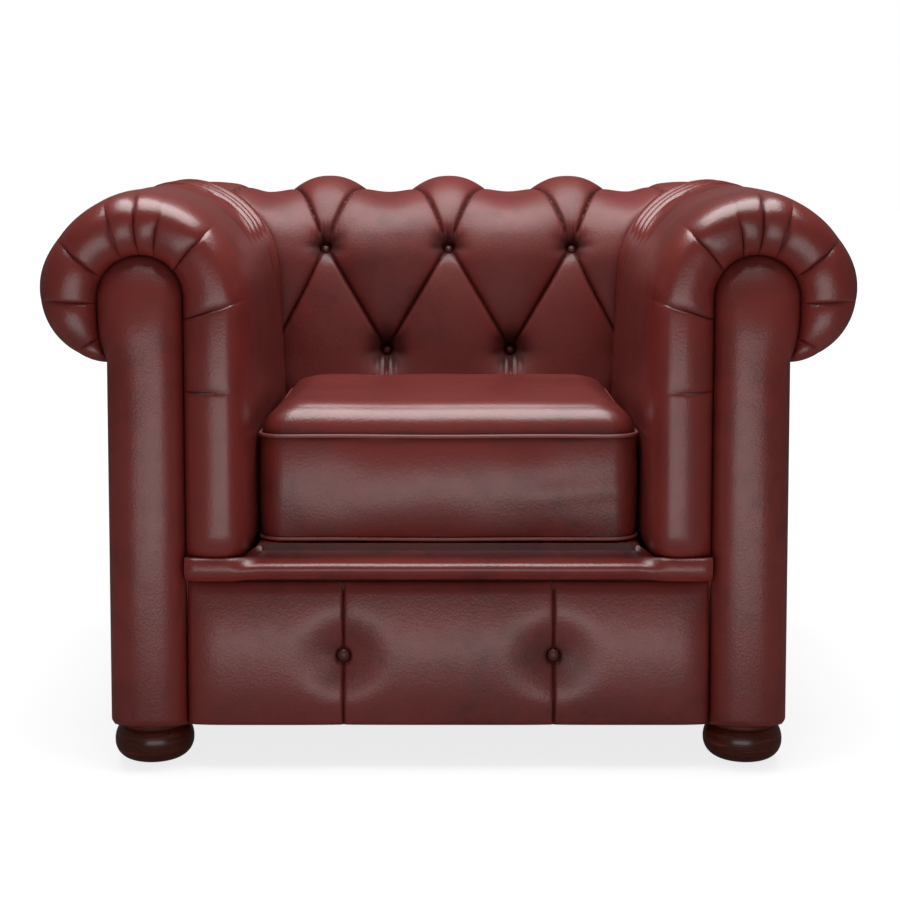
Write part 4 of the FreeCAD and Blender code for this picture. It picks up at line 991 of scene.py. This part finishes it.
def make_cushion(crown):
    """The cushion's cover: its underside, its boxing and its crown, as rings from below upwards."""
    middle, half = (UPPER_SEAM_Z + LOWER_SEAM_Z) / 2.0, (UPPER_SEAM_Z - LOWER_SEAM_Z) / 2.0
    centre = np.array([0.0, (CUSHION_FRONT + CUSHION_BACK) / 2.0])

    def drawn_in(ring, share):
        return stacked(*(centre + (ring[:, :2] - centre) * share).T, ring[:, 2])

    rings, row_wear_and_shade = [], []
    for share in (0.001, 0.35, 0.7, 0.88, 0.96):
        rings.append(drawn_in(cushion_ring(3.4, 0.0, UNDERSIDE_Z + 0.3 * (1 - share)), share))
        row_wear_and_shade.append(0.0)
    for level in np.linspace(-1.0, 1.0, 40):
        bulge = 1.0 - abs(level) ** 2.1
        height = middle + (half - 0.4) * level
        rings.append(cushion_ring(3.2 - 2.9 * bulge ** 0.7, 2.0 + 10.0 * bulge, height))
        # Painted shade along the boxing next to both seams
        row_wear_and_shade.append(0.8 * bell((1 - abs(level)) * half, 4.0))
    outer = cushion_ring(3.2, 2.0, UPPER_SEAM_Z)
    inwards = np.concatenate([
        spaced(0.3, 6.0, 0.5)[:-1], spaced(6.0, 45.0, 1.4), spaced(48.0, 246.0, 8.0)])
    for inward in inwards:
        overhang = 3.4 * math.sin(math.pi * min(inward / 26.0, 1.0))
        ring = drawn_in(outer, 1.0 - (inward - overhang) / CROWN_REACH)
        ring[:, 2] += crown_rise(inward, crown) * (1.0 + 0.5 * smooth(20.0, -330.0, ring[:, 1])) - 0.3
        rings.append(ring)
        # Painted shade on the crown next to the upper seam
        row_wear_and_shade.append(0.7 * bell(inward, 4.0))
    points = np.array(rings)

    # Slack creases in the front of the boxing, and fine streaks on top near the back
    x, y, z = np.moveaxis(points, -1, 0)
    boxing = (z > LOWER_SEAM_Z + 2) & (z < UPPER_SEAM_Z - 2)
    creases = np.sin(z / 9.0 + 0.8 * np.sin(x / 47.0)) * bell((z - middle) / half + 0.05, 0.35)
    slack = 0.9 * ripple(points, 120.0, 61) + 0.7 * creases * smooth(20.0, 150.0, x)
    y -= boxing * smooth(CUSHION_FRONT + 40.0, CUSHION_FRONT, y) * slack
    top = smooth(UPPER_SEAM_Z + 2.0, UPPER_SEAM_Z + 12.0, z)
    streaks = np.sin(y / 7.5 + 1.5 * np.sin(x / 90.0))
    z += top * (0.9 * ripple(points, 150.0, 62) + 0.35 * streaks * smooth(-60.0, 90.0, y))
    return Grid(points, np.array(row_wear_and_shade)[:, None] * np.ones(points.shape[:2]))


def make_piping(z, radius):
    """A thin cord round the cushion at one seam."""
    path = cushion_ring(1.4, 3.2, z)
    path[:, 2] += 0.35 * np.sin(np.arange(len(path)) / 9.0)
    ahead = np.roll(path, -1, axis=0) - np.roll(path, 1, axis=0)
    ahead /= np.linalg.norm(ahead, axis=1, keepdims=True)
    across = np.cross(ahead, np.array([0.0, 0.0, 1.0]))
    across /= np.linalg.norm(across, axis=1, keepdims=True)
    up = np.cross(across, ahead)
    turn = np.linspace(0.0, 2 * math.pi, 14)[:-1, None]
    return Grid(path[:, None] + radius * (across[:, None] * np.cos(turn) + up[:, None] * np.sin(turn)))


class ARMCHAIR_OT_cushion(bpy.types.Operator):
    """Fill the loose seat cushion and pipe its two seams"""

    bl_idname = "armchair.cushion"
    bl_label = "Seat cushion"

    def execute(self, context):
        sizes = context.scene.chair_sizes
        cushion = make_cushion(sizes.cushion_crown / MM).build("seat_cushion_leather")
        dress(cushion, leather(context, "cushion_leather"), ("cushion_cover", "cushion_foam"),
              body="seat_cushion")
        cords = [make_piping(z, sizes.piping_radius / MM).build("piping_part", wrap_rows=True)
                 for z in (LOWER_SEAM_Z, UPPER_SEAM_Z + 0.4)]
        piping = join(cords, "cushion_piping_leather")
        dress(piping, leather(context, "piping_leather"), ("cushion_piping",),
              body="seat_cushion")
        return {"FINISHED"}


def join(things, name):
    """Puts several meshes in one object."""
    bpy.ops.object.select_all(action="DESELECT")
    for thing in things:
        thing.select_set(True)
    bpy.context.view_layer.objects.active = things[0]
    bpy.ops.object.join()
    things[0].name = name
    things[0].data.name = name
    bpy.ops.object.select_all(action="DESELECT")
    return things[0]


def make_platform():
    """The padded top of the seat, with two seams from front to back."""
    reach = SEAT_HALF - 0.6
    near, far = SCROLL_Y + 18.6, SEAT_BACK_Y - 0.6

    def outer(x, y):
        puff = pillow(x + reach, 10.0, 2 * reach) * pillow(y - near, 10.0, far - near)
        z = 5.6 - 1.6 * bell(np.abs(x) - 150.0, 2.0) + 0.5 * ripple(stacked(x, y, 0.0), 120.0, 71)
        return stacked(x, y, SEAT_TOP - 7.0 + puff * z)

    def inner(x, y):
        return stacked(x, y, PLATFORM_BOTTOM)

    xs, ys = edged(-reach, reach, 10.0, 10.0, 1.5, 8.0), edged(near, far, 10.0, 10.0, 1.5, 8.0)
    return panel_grid(xs, ys, outer, inner)


class ARMCHAIR_OT_platform(bpy.types.Operator):
    """Lay the padded platform that the cushion rests on"""

    bl_idname = "armchair.platform"
    bl_label = "Seat platform"

    def execute(self, context):
        pad = make_platform().build("seat_platform_leather")
        dress(pad, leather(context, "platform_leather"), ("platform_cover", "platform_pad"))
        return {"FINISHED"}


# Finishes


class Wire:
    """A shader socket that can be used in sums, so a finish reads like the formula it is."""

    def __init__(self, nodes, socket):
        self.nodes = nodes
        self.socket = socket

    def sum(self, operation, first, second):
        return self.nodes.node("ShaderNodeMath", {"operation": operation}, {0: first, 1: second})[0]

    def __add__(self, other):
        return self.sum("ADD", self, other)

    def __radd__(self, other):
        return self.sum("ADD", other, self)

    def __sub__(self, other):
        return self.sum("SUBTRACT", self, other)

    def __rsub__(self, other):
        return self.sum("SUBTRACT", other, self)

    def __mul__(self, other):
        return self.sum("MULTIPLY", self, other)

    def __rmul__(self, other):
        return self.sum("MULTIPLY", other, self)

    def clamp(self, low, high, to_low=0.0, to_high=1.0):
        """Maps low..high to to_low..to_high and holds the ends."""
        return self.nodes.node("ShaderNodeMapRange", {"interpolation_type": "SMOOTHSTEP"}, {
            "Value": self, "From Min": low, "From Max": high, "To Min": to_low, "To Max": to_high})[0]


class Finish:
    """A material and the nodes that make its finish."""

    def __init__(self, name):
        self.material = bpy.data.materials.new(name)
        self.material.use_nodes = True
        self.tree = self.material.node_tree
        self.tree.nodes.clear()
        self.shader = self.tree.nodes.new("ShaderNodeBsdfPrincipled")
        self.surface = self.tree.nodes.new("ShaderNodeOutputMaterial").inputs["Surface"]
        self.tree.links.new(self.shader.outputs["BSDF"], self.surface)
        self.place = self.node("ShaderNodeTexCoord", {}, {}, "Object")[0]

    def node(self, kind, settings, inputs, *outputs):
        """A node of any kind: its settings first, then values or links for its sockets."""
        made = self.tree.nodes.new(kind)
        for key, value in settings.items():
            setattr(made, key, value)
        for key, value in inputs.items():
            if isinstance(value, Wire):
                self.tree.links.new(value.socket, made.inputs[key])
            else:
                made.inputs[key].default_value = value
        return [Wire(self, made.outputs[name]) for name in outputs or (0,)]

    def mapped(self, scale, turn=(0.0, 0.0, 0.0)):
        return self.node("ShaderNodeMapping", {}, {"Vector": self.place, "Scale": scale, "Rotation": turn})[0]

    def noise(self, scale, detail=3.0, vector=None, roughness=0.5, distortion=0.0):
        return self.node("ShaderNodeTexNoise", {}, {
            "Vector": vector or self.place, "Scale": scale, "Detail": detail, "Roughness": roughness,
            "Distortion": distortion}, "Fac")[0]

    def cells(self, scale, feature="F1", vector=None):
        return self.node("ShaderNodeTexVoronoi", {"feature": feature}, {
            "Vector": vector or self.place, "Scale": scale}, "Distance")[0]

    def waves(self, scale, vector, distortion):
        return self.node("ShaderNodeTexWave", {"wave_type": "BANDS", "bands_direction": "X"}, {
            "Vector": vector, "Scale": scale, "Distortion": distortion}, "Fac")[0]

    def attribute(self, name):
        return self.node("ShaderNodeAttribute", {"attribute_name": name}, {}, "Fac")[0]

    def mix(self, first, second, share):
        """Between two colours, each a colour or a wire."""
        return self.node("ShaderNodeMix", {"data_type": "RGBA", "blend_type": "MIX"}, {
            0: share, 6: color4(first), 7: color4(second)}, 2)[0]

    def bump(self, height, strength, distance, normal=None):
        inputs = {"Height": height, "Strength": strength, "Distance": distance}
        if normal is not None:
            inputs["Normal"] = normal
        return self.node("ShaderNodeBump", {}, inputs, "Normal")[0]

    def set(self, **sockets):
        """Values or links for the main shader's sockets."""
        for key, value in sockets.items():
            socket = self.shader.inputs[key.replace("_", " ")]
            if isinstance(value, Wire):
                self.tree.links.new(value.socket, socket)
            else:
                socket.default_value = color4(value) if socket.type == "RGBA" else value
        return self.material


def color4(color):
    """A colour with its alpha, or the wire that carries it."""
    if isinstance(color, Wire):
        return color
    values = tuple(color)
    return values if len(values) == 4 else values + (1.0,)


def leather(context, name):
    """Waxed oxblood leather: mottled, darkened by wear and painted shade in its creases and gaps, with a fine
    pebbled grain.
    """
    if name in bpy.data.materials:
        return bpy.data.materials[name]
    looks = context.scene.chair_looks
    finish = Finish(name)
    wear_and_shade = finish.attribute("wear_and_shade")
    cloud = finish.noise(6.0, 4.0, roughness=0.55, distortion=0.4)
    blotch = finish.noise(38.0, 3.0, roughness=0.6)
    # Random mottling plus the painted shade and wear that the pieces carry in their creases, dimples and gaps
    mottle_and_shade = cloud.clamp(0.34, 0.70) * 0.30 + blotch.clamp(0.35, 0.75) * 0.22 + wear_and_shade.clamp(0.0, 1.0) * 0.85
    color = finish.mix(looks.leather, looks.leather_dark, mottle_and_shade.clamp(0.0, 1.0))
    scale = 1.0 / looks.grain_size
    pebbles = finish.cells(scale * 0.5, "SMOOTH_F1")
    pores = finish.noise(scale, 2.0)
    soft = finish.noise(22.0, 3.0, distortion=0.5)
    fine = finish.bump(pebbles * 0.5 + pores * 0.5, 0.42, 0.0008)
    uneven = finish.bump(soft, 0.10, 0.004, fine)
    # The back is a little duller than the rest, as in the photo
    softer, specular = (0.15, 0.34) if name == "back_leather" else (0.0, 0.5)
    rough = (looks.roughness + softer) + 0.10 * (pores - 0.5) + 0.12 * (blotch - 0.5) + 0.05 * wear_and_shade
    return finish.set(Base_Color=color, Roughness=rough, Normal=uneven, Coat_Weight=0.04, Coat_Roughness=0.25,
                      Specular_IOR_Level=specular)


def button_leather(context):
    """The same leather, stretched tight over the buttons."""
    finish = Finish("button_cover_leather")
    looks = context.scene.chair_looks
    cloud = finish.noise(60.0, 3.0)
    color = finish.mix(looks.leather_dark, looks.leather, cloud.clamp(0.3, 0.8) * 0.6)
    grain = finish.cells(1.2 / looks.grain_size, "SMOOTH_F1")
    return finish.set(Base_Color=color, Roughness=0.42 + 0.1 * cloud, Coat_Weight=0.0, Coat_Roughness=0.2,
                      Normal=finish.bump(grain, 0.12, 0.0005))


def foot_wood(context):
    """Dark stained and lacquered wood with its grain lying flat across the foot."""
    finish = Finish("stained_foot_wood")
    base = context.scene.chair_looks.wood
    light = tuple(min(1.0, c * 3.4) for c in base)
    vector = finish.mapped((3.0, 3.0, 60.0))
    grain = finish.noise(2.2, 5.0, vector, 0.62, 1.4)
    lines = finish.noise(9.0, 3.0, vector)
    color = finish.mix(base, light, (grain.clamp(0.48, 0.75) * 0.75 + lines * 0.15).clamp(0.05, 1.0))
    return finish.set(Base_Color=color, Roughness=0.22 + 0.12 * grain, Coat_Weight=0.10, Coat_Roughness=0.12,
                      Normal=finish.bump(lines + grain * 0.5, 0.10, 0.0006))


def frame_wood():
    """Planed pale beech with short flecks."""
    finish = Finish("planed_beech")
    vector = finish.mapped((26.0, 26.0, 2.0))
    grain = finish.noise(1.6, 4.0, vector, 0.6, 0.5)
    flecks = finish.cells(30.0, "F1", finish.mapped((1.0, 1.0, 0.2))).clamp(0.0, 0.16)
    darker = grain.clamp(0.3, 0.8) * 0.8 + (1 - flecks) * 0.15
    color = finish.mix((0.60, 0.40, 0.22), (0.43, 0.26, 0.13), darker)
    return finish.set(Base_Color=color, Roughness=0.55 + 0.15 * grain,
                      Normal=finish.bump(grain, 0.15, 0.0008))


def woven(name, light, dark, pitch):
    """A plain weave of crossing yarns."""
    finish = Finish(name)
    yarns = 1.0 / pitch / 6.283
    warp = finish.waves(yarns, finish.mapped((1.0, 1.0, 1.0)), 0.4)
    weft = finish.waves(yarns, finish.mapped((1.0, 1.0, 1.0), (0.0, 0.0, math.pi / 2)), 0.4)
    uneven = finish.noise(90.0, 3.0)
    cloth = warp * weft
    color = finish.mix(dark, light, (cloth * 0.7 + uneven * 0.4).clamp(0.1, 0.9))
    return finish.set(Base_Color=color, Roughness=0.85, Normal=finish.bump(cloth + uneven * 0.3, 0.5, 0.0008))


def padding_foam():
    """Open-cell cream foam."""
    finish = Finish("cream_foam")
    pores = finish.cells(420.0, "F1")
    shade = finish.noise(9.0, 3.0)
    color = finish.mix((0.80, 0.72, 0.50), (0.62, 0.52, 0.31), pores.clamp(0.1, 0.7) * 0.5 + shade * 0.3)
    return finish.set(Base_Color=color, Roughness=0.95, Normal=finish.bump(pores, 0.6, 0.0012))


def bent_board():
    """Brown pressed fibreboard."""
    finish = Finish("fibreboard")
    fibres = finish.noise(320.0, 4.0, roughness=0.7)
    color = finish.mix((0.42, 0.29, 0.17), (0.29, 0.19, 0.10), fibres.clamp(0.35, 0.7))
    return finish.set(Base_Color=color, Roughness=0.8 + 0.1 * fibres,
                      Normal=finish.bump(fibres, 0.25, 0.0005))


def dull_metal(name, tint, worn, rough):
    """Plain metal with a slightly uneven finish."""
    finish = Finish(name)
    cloud = finish.noise(80.0, 4.0)
    color = finish.mix(tint, worn, cloud.clamp(0.35, 0.75))
    return finish.set(Base_Color=color, Metallic=1.0, Roughness=rough + 0.15 * cloud,
                      Normal=finish.bump(cloud, 0.05, 0.0003))


def glide_plastic():
    """Hard black plastic."""
    finish = Finish("hard_glide_plastic")
    grain = finish.noise(700.0, 2.0)
    color = finish.mix((0.03, 0.03, 0.03), (0.05, 0.05, 0.05), grain)
    return finish.set(Base_Color=color, Roughness=0.5 + 0.1 * grain, Normal=finish.bump(grain, 0.1, 0.0003))


class ARMCHAIR_OT_finishes(bpy.types.Operator):
    """Give every carried-over part of the construction its finish"""

    bl_idname = "armchair.finishes"
    bl_label = "Finishes"

    def execute(self, context):
        made = {
            "oxblood_leather": leather(context, "arm_leather"),
            "button_leather": button_leather(context),
            "piping_leather": leather(context, "piping_leather"),
            "foam": padding_foam(),
            "frame_wood": frame_wood(),
            "dark_wood": foot_wood(context),
            "lining_board": bent_board(),
            "webbing": woven("seat_webbing", (0.30, 0.27, 0.23), (0.10, 0.09, 0.08), 0.0024),
            "hessian": woven("coarse_hessian", (0.55, 0.40, 0.22), (0.26, 0.17, 0.08), 0.0016),
            "dust_cloth": woven("black_dust_cloth", (0.035, 0.035, 0.035), (0.012, 0.012, 0.012), 0.0009),
            "zip_tape": woven("zip_tape_cloth", (0.09, 0.02, 0.018), (0.04, 0.01, 0.01), 0.0008),
            "zip_metal": dull_metal("antique_brass", (0.42, 0.29, 0.13), (0.24, 0.15, 0.07), 0.32),
            "bolt_steel": dull_metal("zinc_steel", (0.56, 0.57, 0.58), (0.42, 0.42, 0.42), 0.35),
            "glide_plastic": glide_plastic(),
        }
        for part in frame["record"]["subparts"]:
            node = frame["nodes"][part["node"]]
            node.data.materials.clear()
            node.data.materials.append(made[part["material_slot"]])
        return {"FINISHED"}


# Studio


def soft_light(name, place, target, width, height, power):
    """A rectangular soft light aimed at a point."""
    data = bpy.data.lights.new(name, "AREA")
    data.shape = "RECTANGLE"
    data.size, data.size_y = width, height
    data.energy = power
    lamp = bpy.data.objects.new(name, data)
    lamp.location = place
    lamp.visible_camera = False
    lamp.rotation_mode = "QUATERNION"
    lamp.rotation_quaternion = (Vector(target) - lamp.location).to_track_quat("-Z", "Y")
    bpy.context.scene.collection.objects.link(lamp)


def glow(tree, kind, strength):
    """A white emission or background of one strength."""
    made = tree.nodes.new(kind)
    made.inputs["Color"].default_value = (1.0, 1.0, 1.0, 1.0)
    made.inputs["Strength"].default_value = strength
    return made.outputs[0]


def mix_shaders(tree, share, first, second):
    """Between two shaders, by a socket that says how much of the second."""
    mixed = tree.nodes.new("ShaderNodeMixShader")
    for place, source in enumerate((share, first, second)):
        tree.links.new(source, mixed.inputs[place])
    return mixed.outputs["Shader"]


# The camera in metres, how far it looks down in degrees, and the shift that frames the photo
CAMERA_PLACE = (0.0, -2.740, 0.779)
CAMERA_PITCH = 4.31
CAMERA_SHIFT = (0.0016, -0.1614)


class ARMCHAIR_OT_stage(bpy.types.Operator):
    """Set up the floor, the lights, the world and the camera"""

    bl_idname = "armchair.stage"
    bl_label = "Studio"

    def execute(self, context):
        studio = context.scene.studio_settings
        bpy.ops.object.select_all(action="DESELECT")
        bpy.ops.mesh.primitive_plane_add(size=60.0, location=(0.0, 0.0, 0.0))
        floor = context.active_object
        floor.name = "studio_floor"
        floor.data.materials.append(self.floor_finish())
        # Each light's place, the point it faces, its width, height and power
        front = studio.front_light
        soft_light("front_strip", (0.0, -2.25, 0.25), (0.0, 0.0, 0.31), 1.7, 0.46, front)
        soft_light("floor_strip", (0.0, -1.75, 0.012), (0.0, -1.74, 1.0), 1.7, 0.95, front * 2.0)
        soft_light("top_softbox", (0.0, -0.2, 2.6), (0.0, -0.2, 0.5), 2.2, 2.15, studio.top_light)
        self.world(context, studio.ambient)
        data = bpy.data.cameras.new("photo_camera")
        data.lens = studio.lens
        data.sensor_width = 36.0
        data.shift_x, data.shift_y = CAMERA_SHIFT
        camera = bpy.data.objects.new("photo_camera", data)
        camera.location = CAMERA_PLACE
        camera.rotation_euler = (math.radians(90.0 - CAMERA_PITCH), 0.0, 0.0)
        context.scene.collection.objects.link(camera)
        context.scene.camera = camera
        context.scene.view_settings.view_transform = "Standard"
        return {"FINISHED"}

    def floor_finish(self):
        """White to the camera, dim in reflections, and a plain pale floor to everything else."""
        finish = Finish("pale_floor")
        tree = finish.tree
        cloud = finish.noise(1.3, 2.0)
        finish.set(Base_Color=finish.mix((0.80, 0.80, 0.80), (0.78, 0.78, 0.78), cloud), Roughness=0.9)
        camera_ray, glossy_ray = finish.node("ShaderNodeLightPath", {}, {}, "Is Camera Ray", "Is Glossy Ray")
        away = finish.node("ShaderNodeVectorMath", {"operation": "LENGTH"}, {0: finish.place}, "Value")[0]
        whitened = (camera_ray * away.clamp(1.3, 3.2, 0.72, 1.0)).socket
        dimmed = (glossy_ray * 0.95).socket
        seen = finish.shader.outputs["BSDF"]
        for share, strength in ((whitened, 1.12), (dimmed, 0.05)):
            seen = mix_shaders(tree, share, seen, glow(tree, "ShaderNodeEmission", strength))
        tree.links.new(seen, finish.surface)
        return finish.material

    def world(self, context, ambient):
        """An even pale surround that is white to the camera and dim in reflections."""
        world = bpy.data.worlds.new("pale_surround")
        context.scene.world = world
        world.use_nodes = True
        tree = world.node_tree
        tree.nodes.clear()
        rays = tree.nodes.new("ShaderNodeLightPath").outputs
        seen = glow(tree, "ShaderNodeBackground", ambient)
        for ray, strength in (("Is Glossy Ray", ambient * 0.25), ("Is Camera Ray", 1.0)):
            seen = mix_shaders(tree, rays[ray], seen, glow(tree, "ShaderNodeBackground", strength))
        tree.links.new(seen, tree.nodes.new("ShaderNodeOutputWorld").inputs["Surface"])


STEPS = (
    ARMCHAIR_OT_finishes, ARMCHAIR_OT_arms, ARMCHAIR_OT_facings, ARMCHAIR_OT_back, ARMCHAIR_OT_outside,
    ARMCHAIR_OT_front, ARMCHAIR_OT_cushion, ARMCHAIR_OT_platform, ARMCHAIR_OT_stage,
)


class ARMCHAIR_PT_panel(bpy.types.Panel):
    """Every step of the chair, in order, and its settings"""

    bl_idname = "ARMCHAIR_PT_panel"
    bl_label = "Armchair"
    bl_space_type = "VIEW_3D"
    bl_region_type = "UI"
    bl_category = "Armchair"

    def draw(self, context):
        scene = context.scene
        for settings in (scene.chair_sizes, scene.chair_looks, scene.studio_settings):
            box = self.layout.box()
            for name in settings.__class__.__annotations__:
                box.prop(settings, name)
        for step in STEPS:
            self.layout.operator(step.bl_idname, text=step.bl_label)


CLASSES = (ChairSizes, ChairLooks, StudioSettings, *STEPS, ARMCHAIR_PT_panel)


def register():
    for each in CLASSES:
        bpy.utils.register_class(each)
    bpy.types.Scene.chair_sizes = PointerProperty(type=ChairSizes)
    bpy.types.Scene.chair_looks = PointerProperty(type=ChairLooks)
    bpy.types.Scene.studio_settings = PointerProperty(type=StudioSettings)


def unregister():
    del bpy.types.Scene.studio_settings
    del bpy.types.Scene.chair_looks
    del bpy.types.Scene.chair_sizes
    for each in reversed(CLASSES):
        bpy.utils.unregister_class(each)


def main():
    register()
    bpy.ops.armchair.finishes()
    bpy.ops.armchair.arms()
    bpy.ops.armchair.facings()
    bpy.ops.armchair.back()
    bpy.ops.armchair.outside()
    bpy.ops.armchair.front()
    bpy.ops.armchair.cushion()
    bpy.ops.armchair.platform()
    bpy.ops.armchair.stage()
    bpy.context.view_layer.update()


if __name__ == "__main__":
    main()
